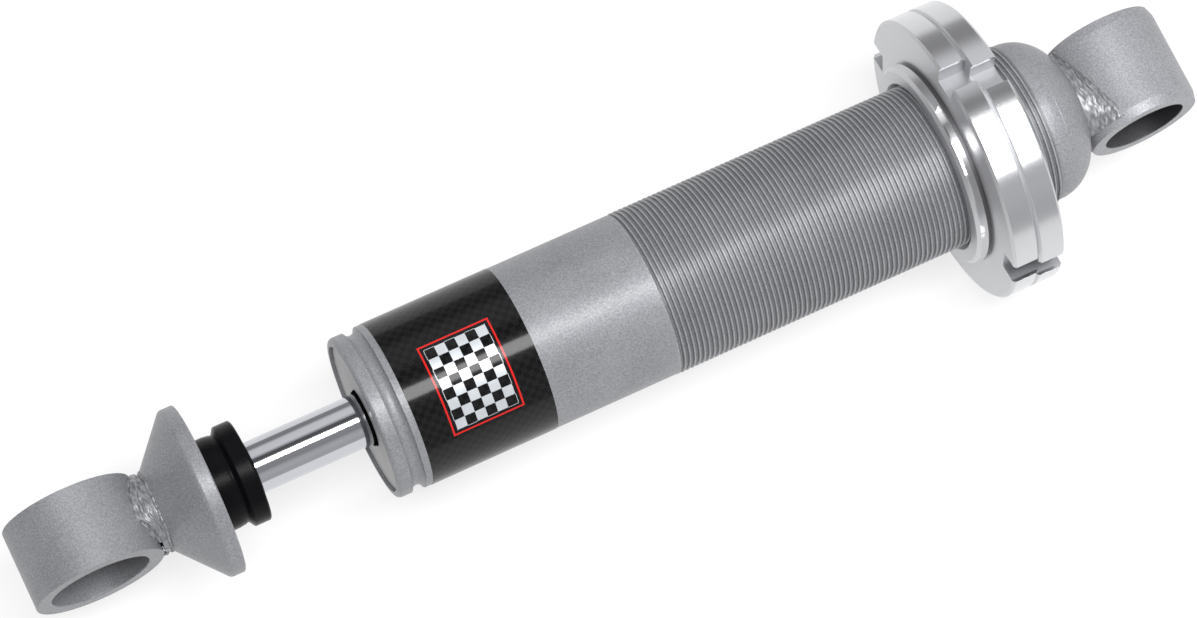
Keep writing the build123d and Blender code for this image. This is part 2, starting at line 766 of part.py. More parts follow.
thread_turns = math.floor((pilot_face - thread_start) / THREAD_PITCH)
relief_turns = math.floor(travel_to_relief / THREAD_PITCH)
print("eye to eye", round(-rod_eye_centre, 3))
print("travel in", REST_GAP, "out", round(rebound_travel, 3))
print("floating piston ratio", round(oil_ratio, 6))
print("nut turns towards the rod", thread_turns, "towards the body eye", relief_turns)
print("seat face at", round(seat_face, 3), "cone face at", round(cone_face, 3))
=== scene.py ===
"""The looks of a gas shock absorber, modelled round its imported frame.

Sizes are in millimetres. The shock's axis is X and both eyes are bored along Y.
"""
import json
import logging
import math
from dataclasses import dataclass
from enum import Enum
from functools import cache
from typing import Callable, Mapping, Optional, Sequence, Union

import bmesh
import bpy
from mathutils import Matrix, Vector, noise


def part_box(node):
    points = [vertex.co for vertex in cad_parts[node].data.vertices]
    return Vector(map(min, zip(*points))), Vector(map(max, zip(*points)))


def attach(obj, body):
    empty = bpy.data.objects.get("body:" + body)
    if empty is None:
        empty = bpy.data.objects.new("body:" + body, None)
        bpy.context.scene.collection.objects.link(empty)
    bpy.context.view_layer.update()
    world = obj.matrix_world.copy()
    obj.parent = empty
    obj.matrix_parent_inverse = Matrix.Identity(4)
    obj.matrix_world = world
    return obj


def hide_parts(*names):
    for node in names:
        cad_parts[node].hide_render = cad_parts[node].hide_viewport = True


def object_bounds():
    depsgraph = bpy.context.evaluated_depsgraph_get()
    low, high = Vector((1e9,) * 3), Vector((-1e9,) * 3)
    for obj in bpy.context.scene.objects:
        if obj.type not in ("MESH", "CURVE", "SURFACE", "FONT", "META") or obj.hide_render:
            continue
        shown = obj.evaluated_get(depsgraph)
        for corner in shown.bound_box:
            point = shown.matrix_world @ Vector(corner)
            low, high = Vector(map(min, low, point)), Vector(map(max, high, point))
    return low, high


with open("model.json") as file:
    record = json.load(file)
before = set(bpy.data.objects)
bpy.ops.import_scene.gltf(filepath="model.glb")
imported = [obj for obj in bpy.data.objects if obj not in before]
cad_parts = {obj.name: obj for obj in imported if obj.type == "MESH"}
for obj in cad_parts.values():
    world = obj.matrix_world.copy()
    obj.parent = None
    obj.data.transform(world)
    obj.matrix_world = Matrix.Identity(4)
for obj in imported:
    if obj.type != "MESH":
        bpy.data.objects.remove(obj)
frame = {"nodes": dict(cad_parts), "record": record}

CAD_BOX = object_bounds()
MM = 0.001
MERGE = 1e-4
CUT_MERGE = 0.002
THREAD_MERGE = 0.01
SHARP_EDGE = 32.0
WELD_EDGE = 80.0
LOG = logging.getLogger("shock_absorber")

Point = tuple[float, float]
Colour = tuple[float, float, float]
Socket = bpy.types.NodeSocket
Input = Union["Value", Socket, float, tuple]
Line = Callable[[float], Vector]


def shaded(colour: Colour, shade: float) -> Colour:
    """A colour made darker or lighter."""
    return tuple(channel * shade for channel in colour)


class Direction(Enum):
    """An axis that a piece is turned about."""

    SHOCK = (1.0, 0.0, 0.0)
    BORE = (0.0, 1.0, 0.0)


class Value:
    """A number that changes over a surface, so that shader maths reads as a sum."""

    def __init__(self, tree: "Nodes", socket: Socket) -> None:
        """Wraps one output socket of a node in the tree."""
        self.tree = tree
        self.socket = socket

    def _math(self, operation: str, first: Input, second: Input = 0.0) -> "Value":
        """Adds one Math node.

        Args:
            operation: The node's operation.
            first: Its first input.
            second: Its second input.

        Returns:
            The node's result.
        """
        node = self.tree.node("ShaderNodeMath", {"operation": operation}, {0: first, 1: second})
        return Value(self.tree, node.outputs[0])

    def __add__(self, other: Input) -> "Value":
        """This number and another."""
        return self._math("ADD", self, other)

    def __radd__(self, other: Input) -> "Value":
        """Another number and this one."""
        return self._math("ADD", other, self)

    def __sub__(self, other: Input) -> "Value":
        """This number less another."""
        return self._math("SUBTRACT", self, other)

    def __rsub__(self, other: Input) -> "Value":
        """Another number less this one."""
        return self._math("SUBTRACT", other, self)

    def __mul__(self, other: Input) -> "Value":
        """This number times another."""
        return self._math("MULTIPLY", self, other)

    def __rmul__(self, other: Input) -> "Value":
        """Another number times this one."""
        return self._math("MULTIPLY", other, self)

    def __truediv__(self, other: Input) -> "Value":
        """This number over another."""
        return self._math("DIVIDE", self, other)

    def __gt__(self, other: Input) -> "Value":
        """One where this number is above the other, else nought."""
        return self._math("GREATER_THAN", self, other)

    def __lt__(self, other: Input) -> "Value":
        """One where this number is under the other, else nought."""
        return self._math("LESS_THAN", self, other)

    def __mod__(self, other: Input) -> "Value":
        """What is left of this number over another, never negative."""
        return self._math("FLOORED_MODULO", self, other)

    def __abs__(self) -> "Value":
        """This number without its sign."""
        return self._math("ABSOLUTE", self)

    def angle_from(self, other: "Value") -> "Value":
        """The angle, in radians, of the direction whose sine side is this and cosine side the other."""
        return self._math("ARCTAN2", self, other)

    def root(self) -> "Value":
        """The square root."""
        return self._math("SQRT", self)

    def sine(self) -> "Value":
        """The sine."""
        return self._math("SINE", self)


class Nodes:
    """A node tree that is built one node at a time."""

    def __init__(self, tree: bpy.types.NodeTree) -> None:
        """Starts with an empty tree."""
        self.tree = tree
        tree.nodes.clear()

    def node(
        self,
        kind: str,
        settings: Optional[Mapping[str, object]] = None,
        inputs: Optional[Mapping[Union[int, str], Input]] = None,
    ) -> bpy.types.Node:
        """Adds a node.

        Args:
            kind: The node's type.
            settings: What is set on the node itself. "stops" holds a ramp's places and colours.
            inputs: Values or links for its sockets, by name or number.

        Returns:
            The new node.
        """
        node = self.tree.nodes.new(kind)
        for name, setting in (settings or {}).items():
            if name == "stops":
                self._set_stops(node.color_ramp, setting)
            else:
                setattr(node, name, setting)
        for name, given in (inputs or {}).items():
            self.feed(node.inputs[name], given)
        return node

    def feed(self, socket: Socket, given: Input) -> None:
        """Links a socket, or sets it when a plain value is given.

        Args:
            socket: The socket.
            given: A value for it, or what it is linked to.
        """
        given = given.socket if isinstance(given, Value) else given
        if isinstance(given, bpy.types.NodeSocket):
            self.tree.links.new(given, socket)
        else:
            socket.default_value = given

    @staticmethod
    def _set_stops(ramp: bpy.types.ColorRamp, stops: Sequence[tuple[float, Colour]]) -> None:
        """Gives a ramp its places and colours.

        Args:
            ramp: The ramp.
            stops: Its places and colours, in order.
        """
        while len(ramp.elements) < len(stops):
            ramp.elements.new(1.0)
        for element, (place, colour) in zip(ramp.elements, stops):
            element.position = place
            element.color = (*colour, 1.0)

    def parts(self, coordinates: str) -> tuple[Value, Value, Value]:
        """The X, Y and Z parts of one kind of texture coordinate.

        Args:
            coordinates: The name of the Texture Coordinate node's output.

        Returns:
            The three parts.
        """
        whole = self.node("ShaderNodeTexCoord").outputs[coordinates]
        split = self.node("ShaderNodeSeparateXYZ", None, {0: whole}).outputs
        return tuple(Value(self, part) for part in split)

    def object_place(self) -> tuple[Value, Value, Value]:
        """The place on the piece along X, Y and Z, in millimetres."""
        return tuple(part * (1 / MM) for part in self.parts("Object"))

    def noise(self, size: float, detail: float = 2.0, stretch: Vector = Vector((1, 1, 1))) -> Value:
        """Noise on the piece's own coordinates.

        Args:
            size: The grain's size in millimetres.
            detail: How many finer layers it has.
            stretch: How much longer the grain is along each axis.

        Returns:
            A number around one half.
        """
        coordinates = self.node("ShaderNodeTexCoord").outputs["Object"]
        scale = tuple(1 / (MM * size * part) for part in stretch)
        mapped = self.node("ShaderNodeMapping", None, {"Vector": coordinates, "Scale": scale})
        inputs = {"Vector": mapped.outputs[0], "Scale": 1.0, "Detail": detail}
        return Value(self, self.node("ShaderNodeTexNoise", None, inputs).outputs[0])

    def lines(self, along: Value, spacing: float, detail: float = 2.0) -> Value:
        """Uneven fine lines that follow one number.

        Args:
            along: The number that the lines cross, in millimetres.
            spacing: The lines' spacing in millimetres.
            detail: How many finer layers they have.

        Returns:
            A number around one half.
        """
        settings = {"noise_dimensions": "1D"}
        inputs = {"W": along * (1 / spacing), "Scale": 1.0, "Detail": detail}
        return Value(self, self.node("ShaderNodeTexNoise", settings, inputs).outputs[0])

    def between(self, low: float, high: float, amount: Value) -> Value:
        """A number from low to high as the amount goes from nought to one."""
        return amount * (high - low) + low

    def mix(self, first: Input, second: Input, amount: Input) -> Socket:
        """A colour between two others.

        Args:
            first: The colour where the amount is nought.
            second: The colour where it is one.
            amount: How far from the first to the second.

        Returns:
            The mixed colour.
        """
        settings = {"data_type": "RGBA", "clamp_factor": True}
        node = self.node("ShaderNodeMix", settings, {0: amount})
        for socket, colour in ((node.inputs[6], first), (node.inputs[7], second)):
            self.feed(socket, (*colour, 1.0) if isinstance(colour, tuple) else colour)
        return node.outputs[2]

    def soften_step(self, amount: Value, low: float, high: float) -> Value:
        """Nought under the low mark and one over the high one, with a smooth rise between.

        Args:
            amount: The number that rises.
            low: The low mark.
            high: The high mark.

        Returns:
            A number from nought to one.
        """
        settings = {"interpolation_type": "SMOOTHSTEP"}
        inputs = {"Value": amount, "From Min": low, "From Max": high}
        return Value(self, self.node("ShaderNodeMapRange", settings, inputs).outputs[0])


class Surface(Nodes):
    """A material with one principled shader."""

    def __init__(self, name: str) -> None:
        """Makes the material and its shader.

        Args:
            name: The material's name.
        """
        self.material = bpy.data.materials.new(name)
        self.material.use_nodes = True
        super().__init__(self.material.node_tree)
        self.shader = self.node("ShaderNodeBsdfPrincipled")
        self.node("ShaderNodeOutputMaterial", None, {"Surface": self.shader.outputs[0]})

    def set(self, **sockets: Input) -> None:
        """Sets or links the shader's sockets, named with _ for each space.

        Args:
            sockets: A value or a link for each.
        """
        for name, given in sockets.items():
            if isinstance(given, tuple) and len(given) == 3:
                given = (*given, 1.0)
            self.feed(self.shader.inputs[name.replace("_", " ")], given)

    def bump(self, height: Value, depth: float, strength: float = 1.0) -> None:
        """Raises the surface by a height.

        Args:
            height: The height, from nought to one.
            depth: What one stands for, in millimetres.
            strength: How strongly it shows.
        """
        inputs = {"Height": height, "Distance": depth * MM, "Strength": strength}
        self.set(Normal=self.node("ShaderNodeBump", None, inputs).outputs[0])


@dataclass(frozen=True)
class Finish:
    """A finish that can be put on any piece."""

    slot: str

    def dress(self, surface: Surface) -> None:
        """Builds the finish on a surface."""
        raise NotImplementedError

    def material(self) -> bpy.types.Material:
        """A new material with this finish.

        Returns:
            The material, named after its slot.
        """
        surface = Surface(self.slot)
        self.dress(surface)
        return surface.material


@dataclass(frozen=True)
class SilverPaint(Finish):
    """Silver paint with a fine metallic grain."""

    dark: Colour = (0.194, 0.197, 0.210)
    light: Colour = (0.297, 0.301, 0.317)
    grain: float = 0.52
    roughness: tuple[float, float] = (0.40, 0.52)
    metallic: float = 0.22
    depth: float = 0.035
    speckle_limits: tuple[float, float] = (0.32, 0.68)
    specular: float = 0.3
    coat: float = 0.16
    coat_roughness: float = 0.20

    def dress(self, surface: Surface) -> None:
        """Speckles the paint, and lets its gloss and tone drift a little.

        Args:
            surface: The surface that gets the finish.
        """
        speckle = surface.noise(self.grain, 3.0)
        drift = surface.noise(30 * self.grain)
        amount = surface.soften_step(speckle * 0.8 + drift * 0.2, *self.speckle_limits)
        surface.set(
            Base_Color=self.tone(surface, amount),
            Roughness=surface.between(*self.roughness, 1 - speckle),
            Metallic=self.metallic,
            Specular_IOR_Level=self.specular,
            Coat_Weight=self.coat,
            Coat_Roughness=self.coat_roughness,
        )
        surface.bump(speckle, self.depth)

    def tone(self, surface: Surface, amount: Value) -> Socket:
        """The paint's colour, from dark to light."""
        return surface.mix(self.dark, self.light, amount)


@dataclass(frozen=True)
class ThreadedPaint(SilverPaint):
    """The same paint on the threaded tube, darkened in the grooves by painted shade and lightened on the
    crests by a painted highlight.
    """

    thread_start: float = -159.8
    crest_radius: float = 25.4
    # Shares of the paint's colour: painted shade in the grooves and a painted highlight on the crests.
    painted_groove_shade: float = 0.60
    painted_crest_highlight: float = 1.25
    groove_below: float = 0.22
    crest_below: float = 0.04
    fade: float = 0.6

    def tone(self, surface: Surface, amount: Value) -> Socket:
        """The paint's colour, which follows the thread where there is one.

        Args:
            surface: The surface that is dressed.
            amount: How light the grain is, from nought to one.

        Returns:
            The colour.
        """
        along, across, up = surface.object_place()
        radius = (across * across + up * up).root()
        plain = super().tone(surface, amount)
        # Painted light on the thread: shade darkens the grooves and a highlight lightens the crests.
        groove, crest = (
            surface.mix(shaded(self.dark, shade), shaded(self.light, shade), amount)
            for shade in (self.painted_groove_shade, self.painted_crest_highlight)
        )
        low, high = self.crest_radius - self.groove_below, self.crest_radius - self.crest_below
        top = surface.soften_step(radius, low, high)
        start, end = self.thread_start - self.fade, self.thread_start + self.fade
        threaded = surface.soften_step(along, start, end)
        return surface.mix(plain, surface.mix(groove, crest, top), threaded)


@dataclass(frozen=True)
class BoredPaint(SilverPaint):
    """The same paint on an eye, darkened inside the bore by painted shade."""

    centre: float = 0.0
    bore: float = 12.7
    # How much of the paint's colour stays clear of the painted shade at the near and the far side of the
    # bore, and the colour of that shade.
    near_lit_share: float = 0.30
    far_lit_share: float = 0.05
    bore_shade: Colour = (0.011, 0.011, 0.012)
    margin: float = 0.15
    far_share: float = 0.8

    def tone(self, surface: Surface, amount: Value) -> Socket:
        """The paint's colour, darkened inside the bore by painted shade, more so towards the far side.

        Args:
            surface: The surface that is dressed.
            amount: How light the grain is, from nought to one.

        Returns:
            The colour.
        """
        along, _, up = surface.object_place()
        far = along - self.centre
        inside = (far * far + up * up).root() < self.bore + self.margin
        side = surface.soften_step(far, -self.bore, self.far_share * self.bore)
        # Painted shade inside the bore, heavier towards the far side.
        bore_shade = surface.between(1 - self.near_lit_share, 1 - self.far_lit_share, side)
        return surface.mix(super().tone(surface, amount), self.bore_shade, bore_shade * inside)


@dataclass(frozen=True)
class TurnedMetal(Finish):
    """Bare metal with the fine rings that a lathe leaves about the shock's axis."""

    colour: Colour = (0.64, 0.645, 0.66)
    shade: float = 0.90
    roughness: tuple[float, float] = (0.15, 0.25)
    spacing: float = 0.22
    depth: float = 0.002

    def dress(self, surface: Surface) -> None:
        """Rules the rings on faces and rims alike.

        Args:
            surface: The surface that gets the finish.
        """
        along, across, up = surface.object_place()
        radius = (across * across + up * up).root()
        rings = surface.lines(along * 1.3 + radius, self.spacing, 3.0)
        cloud = surface.noise(14.0)
        tone = surface.mix(self.colour, shaded(self.colour, self.shade), cloud * 0.6 + rings * 0.4)
        gloss = surface.between(*self.roughness, rings * 0.6 + cloud * 0.4)
        # On the nuts this paints shade into the notches and undercut and a highlight onto the boss.
        tone, gloss = self.machined(surface, radius, tone, gloss)
        surface.set(Base_Color=tone, Roughness=gloss, Metallic=1.0)
        surface.bump(rings, self.depth)

    def machined(
        self, surface: Surface, radius: Value, tone: Socket, gloss: Value
    ) -> tuple[Socket, Value]:
        """Changes the finish where another tool has cut, painted light included: nowhere, on a plain turned
        piece.
        """
        return tone, gloss


@dataclass(frozen=True)
class NutMetal(TurnedMetal):
    """Turned aluminium with notches cut by a mill, which are duller and darkened by painted shade like the
    undercut, and a glossier boss lightened by a painted highlight.
    """

    notch_radii: tuple[float, float] = (37.5, 43.7)
    boss_radii: tuple[float, float] = (31.2, 32.0)
    undercut_radii: tuple[float, float] = (30.2, 31.2)
    # Painted light: a darker colour as painted shade in the notches, a lighter one as a painted highlight on
    # the boss, and a dark one as painted shade in the undercut.
    notch_shade_tone: Colour = (0.42, 0.425, 0.44)
    milled_roughness: float = 0.46
    boss_highlight_tone: Colour = (0.90, 0.90, 0.91)
    polished_roughness: float = 0.07
    undercut_shade_tone: Colour = (0.22, 0.22, 0.23)
    faced_roughness: float = 0.50

    def machined(
        self, surface: Surface, radius: Value, tone: Socket, gloss: Value
    ) -> tuple[Socket, Value]:
        """Darkens the notches and the undercut with painted shade, dulls them and the flat faces, and
        lightens the boss with a painted highlight and makes it glossier.

        Args:
            surface: The surface that is dressed.
            radius: The distance from the axis.
            tone: The turned metal's colour.
            gloss: The turned metal's roughness.

        Returns:
            The colour and the roughness with those faces changed.
        """
        facing_along, _, _ = surface.parts("Normal")
        outward = abs(facing_along) < 0.5
        changes = (
            (self.notch_radii, self.notch_shade_tone, self.milled_roughness),
            (self.boss_radii, self.boss_highlight_tone, self.polished_roughness),
            (self.undercut_radii, self.undercut_shade_tone, self.milled_roughness),
        )
        gloss = gloss + (self.faced_roughness - gloss) * (1 - outward)
        # Each band of radii takes its own colour, painted shade in the notches and undercut and a painted
        # highlight on the boss, and its own roughness.
        for (low, high), colour, roughness in changes:
            here = (radius > low) * (radius < high) * outward
            tone = surface.mix(tone, colour, here)
            gloss = gloss + (roughness - gloss) * here
        return tone, gloss


@dataclass(frozen=True)
class WeldMetal(Finish):
    """A painted weld: glossy on its ripples and dull in its hollows."""

    dark: Colour = (0.14, 0.142, 0.152)
    light: Colour = (0.29, 0.293, 0.307)
    grain: float = 1.3
    stretch: Vector = Vector((0.6, 1.6, 1.6))
    roughness: tuple[float, float] = (0.46, 0.36)
    metallic: float = 0.3
    coat: float = 0.16
    coat_roughness: float = 0.24
    depth: float = 0.04

    def dress(self, surface: Surface) -> None:
        """Mottles the bead.

        Args:
            surface: The surface that gets the finish.
        """
        mottle = surface.noise(self.grain, 3.0, self.stretch)
        spots = surface.soften_step(mottle, 0.34, 0.66)
        surface.set(
            Base_Color=surface.mix(self.dark, self.light, spots),
            Roughness=surface.between(*self.roughness, spots),
            Metallic=self.metallic,
            Coat_Weight=self.coat,
            Coat_Roughness=self.coat_roughness,
        )
        surface.bump(mottle, self.depth)


@dataclass(frozen=True)
class HardChrome(Finish):
    """Mirror chrome on a ground rod."""

    colour: Colour = (0.57, 0.58, 0.61)
    shade: Colour = (0.53, 0.54, 0.575)
    roughness: tuple[float, float] = (0.03, 0.08)
    depth: float = 0.0006

    def dress(self, surface: Surface) -> None:
        """Leaves the faintest grinding lines under the chrome.

        Args:
            surface: The surface that gets the finish.
        """
        along, across, up = surface.object_place()
        lines = surface.lines(along, 0.35)
        haze = surface.noise(9.0)
        surface.set(
            Base_Color=surface.mix(self.colour, self.shade, haze),
            Roughness=surface.between(*self.roughness, lines * 0.5 + haze * 0.5),
            Metallic=1.0,
        )
        surface.bump(lines, self.depth)


@dataclass(frozen=True)
class Rubber(Finish):
    """Moulded black rubber."""

    dark: Colour = (0.0025, 0.0025, 0.003)
    light: Colour = (0.006, 0.006, 0.007)
    roughness: tuple[float, float] = (0.22, 0.34)
    gloss: float = 0.06
    depth: float = 0.03

    def dress(self, surface: Surface) -> None:
        """Adds bloom and a fine moulded skin.

        Args:
            surface: The surface that gets the finish.
        """
        skin = surface.noise(0.7, 3.0)
        bloom = surface.noise(7.0)
        surface.set(
            Base_Color=surface.mix(self.dark, self.light, bloom * 0.7 + skin * 0.3),
            Roughness=surface.between(*self.roughness, bloom * 0.5 + skin * 0.5),
            Specular_IOR_Level=self.gloss,
        )
        surface.bump(skin, self.depth)


@dataclass(frozen=True)
class PlainPlate(Finish):
    """A grey coated plate."""

    dark: Colour = (0.34, 0.34, 0.345)
    light: Colour = (0.41, 0.41, 0.415)
    roughness: tuple[float, float] = (0.42, 0.55)
    metallic: float = 0.25
    depth: float = 0.012

    def dress(self, surface: Surface) -> None:
        """Leaves a smooth coat with faint clouds.

        Args:
            surface: The surface that gets the finish.
        """
        cloud = surface.noise(8.0, 3.0)
        skin = surface.noise(0.4)
        surface.set(
            Base_Color=surface.mix(self.dark, self.light, cloud),
            Roughness=surface.between(*self.roughness, skin),
            Metallic=self.metallic,
        )
        surface.bump(skin, self.depth)


@dataclass(frozen=True)
class BearingPlastic(Finish):
    """Filled bearing plastic."""

    dark: Colour = (0.10, 0.07, 0.045)
    light: Colour = (0.17, 0.12, 0.08)
    roughness: tuple[float, float] = (0.5, 0.65)
    depth: float = 0.01

    def dress(self, surface: Surface) -> None:
        """Speckles the filler.

        Args:
            surface: The surface that gets the finish.
        """
        speckle = surface.noise(0.4, 3.0)
        surface.set(
            Base_Color=surface.mix(self.dark, self.light, speckle),
            Roughness=surface.between(*self.roughness, speckle),
        )
        surface.bump(speckle, self.depth)


@dataclass(frozen=True)
class LabelFilm(Finish):
    """Gloss black film with a faint weave and a chequered patch in a thin red border."""

    black: Colour = (0.0008, 0.0008, 0.001)
    weave_tone: Colour = (0.008, 0.0083, 0.0093)
    silver: Colour = (0.60, 0.63, 0.66)
    red: Colour = (0.62, 0.015, 0.012)
    radius: float = 25.5
    centre: float = -219.0
    facing: float = -18.0
    half_length: float = 11.2
    half_height: float = 14.4
    border: float = 0.55
    gap: float = 0.9
    chequer: float = 3.2
    weave: float = 3.4
    weave_share: float = 0.6
    sheen: tuple[float, float] = (0.82, 1.12)
    roughness: tuple[float, float] = (0.30, 0.42)
    silver_metallic: float = 0.4
    specular: float = 0.05
    coat: float = 0.46
    coat_roughness: float = 0.11
    depth: float = 0.008

    def dress(self, surface: Surface) -> None:
        """Prints the patch round the film, in place along the axis and round the tube.

        Args:
            surface: The surface that gets the finish.
        """
        along, across, up = surface.object_place()
        turn = across.angle_from(up) - math.radians(self.facing)
        high = turn * self.radius
        far = along - self.centre
        inside = self._patch(far, high, 0.0)
        panel = self._patch(far, high, self.border)
        field = self._patch(far, high, self.border + self.gap)
        rows = (high % (2 * self.chequer)) > self.chequer
        columns = (far % (2 * self.chequer)) > self.chequer
        squares = abs(rows - columns) * field
        sheen = surface.between(*self.sheen, surface.noise(5.0))
        silver = surface.mix((0.0, 0.0, 0.0), self.silver, sheen)
        warp = (high % self.weave) > self.weave / 2
        weft = (far % self.weave) > self.weave / 2
        threads = abs(warp - weft)
        ground = surface.mix(self.black, self.weave_tone, threads * self.weave_share)
        bordered = surface.mix(ground, self.red, inside - panel)
        surface.set(
            Base_Color=surface.mix(bordered, silver, squares),
            Roughness=surface.between(*self.roughness, surface.noise(3.0)),
            Metallic=squares * self.silver_metallic,
            Specular_IOR_Level=self.specular,
            Coat_Weight=self.coat,
            Coat_Roughness=self.coat_roughness,
        )
        surface.bump(threads * (1 - inside) + squares * 0.5, self.depth)

    def _patch(self, far: Value, high: Value, inset: float) -> Value:
        """One inside the patch's outline, moved in by an inset."""
        along = abs(far) < self.half_length - inset
        return along * (abs(high) < self.half_height - inset)


@dataclass(frozen=True)
class PaleFloor(Finish):
    """The studio floor."""

    dark: Colour = (0.26, 0.26, 0.26)
    light: Colour = (0.28, 0.28, 0.28)
    glow: float = 0.70

    def dress(self, surface: Surface) -> None:
        """Keeps the floor matt and nearly white.

        Args:
            surface: The surface that gets the finish.
        """
        cloud = surface.noise(300.0)
        surface.set(
            Base_Color=surface.mix(self.dark, self.light, cloud),
            Roughness=0.9,
            Emission_Color=(1.0, 1.0, 1.0),
            Emission_Strength=self.glow,
        )


FINISHES = {
    finish.slot: finish
    for finish in (
        SilverPaint("silver_paint"),
        WeldMetal("weld_metal"),
        NutMetal("machined_aluminium"),
        HardChrome("hard_chrome"),
        Rubber("black_rubber"),
        Rubber("seal_rubber", (0.002, 0.002, 0.002), (0.005, 0.005, 0.005), roughness=(0.6, 0.75), gloss=0.0),
        PlainPlate("plate_steel"),
        TurnedMetal("bearing_bronze", (0.50, 0.34, 0.18), shade=0.85, roughness=(0.30, 0.42)),
        TurnedMetal("spring_steel", (0.36, 0.37, 0.39), shade=0.85, roughness=(0.25, 0.38)),
        TurnedMetal("plain_steel", (0.50, 0.50, 0.52), shade=0.85, roughness=(0.30, 0.42)),
        TurnedMetal("piston_alloy", (0.72, 0.73, 0.75), shade=0.90, roughness=(0.24, 0.36)),
        BearingPlastic("bearing_plastic"),
    )
}


SPECIAL_FINISHES = (
    LabelFilm("label_film"),
    ThreadedPaint("threaded_paint"),
    # The body eye's paint is lighter than the silver paint elsewhere: painted light, standing for the
    # stronger light that falls on the eye.
    BoredPaint("body_eye_paint", (0.225, 0.228, 0.243), (0.345, 0.349, 0.368)),
    BoredPaint("rod_eye_paint", centre=-337.65, bore=15.1, near_lit_share=1.0, far_lit_share=0.6),
)


@dataclass(frozen=True)
class Extent:
    """Where a CAD node lies along the shock's axis, and how far it reaches from it."""

    start: float
    end: float
    reach: float

    @classmethod
    @cache
    def of(cls, node: str) -> "Extent":
        """Measures a node of the frame."""
        low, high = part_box(node)
        return cls(low.x / MM, high.x / MM, high.y / MM)

    @property
    def middle(self) -> float:
        """The place halfway along."""
        return (self.start + self.end) / 2

    @property
    def length(self) -> float:
        """The length along the axis."""
        return self.end - self.start


def arc(centre: Point, radius: float, first: float, last: float, steps: int = 10) -> list[Point]:
    """Points on an arc.

    Args:
        centre: The arc's centre.
        radius: Its radius.
        first: The angle it starts at, in degrees from the axis.
        last: The angle it ends at.
        steps: How many straight runs it has.

    Returns:
        The points, with both ends.
    """
    points = []
    for index in range(steps + 1):
        angle = math.radians(first + (last - first) * index / steps)
        points.append((centre[0] + radius * math.cos(angle), centre[1] + radius * math.sin(angle)))
    return points


def lathe(
    section: Sequence[Point],
    steps: int = 168,
    about: Direction = Direction.SHOCK,
    centre: Point = (0.0, 0.0),
) -> bmesh.types.BMesh:
    """Turns a closed half section into a solid.

    Args:
        section: The outline's points, as places along the axis and radii.
        steps: How many steps a full turn has.
        about: The axis it is turned about.
        centre: Where the axis crosses the XZ plane.

    Returns:
        The turned shape.
    """
    shape = bmesh.new()
    axis = Vector(about.value)
    origin = Vector((centre[0], 0.0, centre[1]))
    corners = [shape.verts.new(origin + axis * place + Vector((0, 0, radius))) for place, radius in section]
    edges = [shape.edges.new((corner, corners[index - 1])) for index, corner in enumerate(corners)]
    bmesh.ops.spin(
        shape, geom=corners + edges, cent=origin, axis=axis, angle=2 * math.pi, steps=steps, use_merge=True
    )
    bmesh.ops.remove_doubles(shape, verts=shape.verts, dist=MERGE)
    bmesh.ops.recalc_face_normals(shape, faces=shape.faces)
    return shape


def soften(shape: bmesh.types.BMesh, width: float, segments: int = 2, sharper_than: float = 24.0) -> None:
    """Breaks the sharp edges of a closed shape.

    Args:
        shape: The shape.
        width: How far each edge is taken back, in millimetres.
        segments: How many runs round the broken edge.
        sharper_than: The angle in degrees from which an edge counts as sharp.
    """
    shape.normal_update()
    limit = math.radians(sharper_than)
    sharp = [edge for edge in shape.edges if edge.is_manifold and edge.calc_face_angle() > limit]
    bmesh.ops.bevel(
        shape,
        geom=sharp,
        offset=width,
        offset_type="OFFSET",
        segments=segments,
        profile=0.5,
        affect="EDGES",
        clamp_overlap=True,
        material=-1,
    )


def make_object(name: str, shape: bmesh.types.BMesh) -> bpy.types.Object:
    """Turns a shape in millimetres into an object in metres.

    Args:
        name: The object's name.
        shape: The shape, which is used up.

    Returns:
        The object, at the origin.
    """
    bmesh.ops.remove_doubles(shape, verts=shape.verts, dist=MERGE)
    bmesh.ops.recalc_face_normals(shape, faces=shape.faces)
    shape.transform(Matrix.Scale(MM, 4))
    mesh = bpy.data.meshes.new(name)
    shape.to_mesh(mesh)
    shape.free()
    thing = bpy.data.objects.new(name, mesh)
    bpy.context.scene.collection.objects.link(thing)
    return thing


def joined(first: bmesh.types.BMesh, *others: bmesh.types.BMesh) -> bmesh.types.BMesh:
    """Puts closed shapes together as one.

    Args:
        first: The shape that takes up the others.
        others: The shapes that are taken up, and used up.

    Returns:
        The first shape, with the others in it.
    """
    for other in others:
        mesh = bpy.data.meshes.new("part")
        other.to_mesh(mesh)
        other.free()
        first.from_mesh(mesh)
        bpy.data.meshes.remove(mesh)
    return first


def smooth(thing: bpy.types.Object, sharper_than: float) -> None:
    """Shades a piece smooth between its sharp edges, with flat faces kept flat.

    Args:
        thing: The piece.
        sharper_than: The angle in degrees from which an edge stays sharp.
    """
    thing.data.shade_smooth()
    thing.data.set_sharp_from_angle(angle=math.radians(sharper_than))
    even = thing.modifiers.new("even_shading", "WEIGHTED_NORMAL")
    even.keep_sharp = True


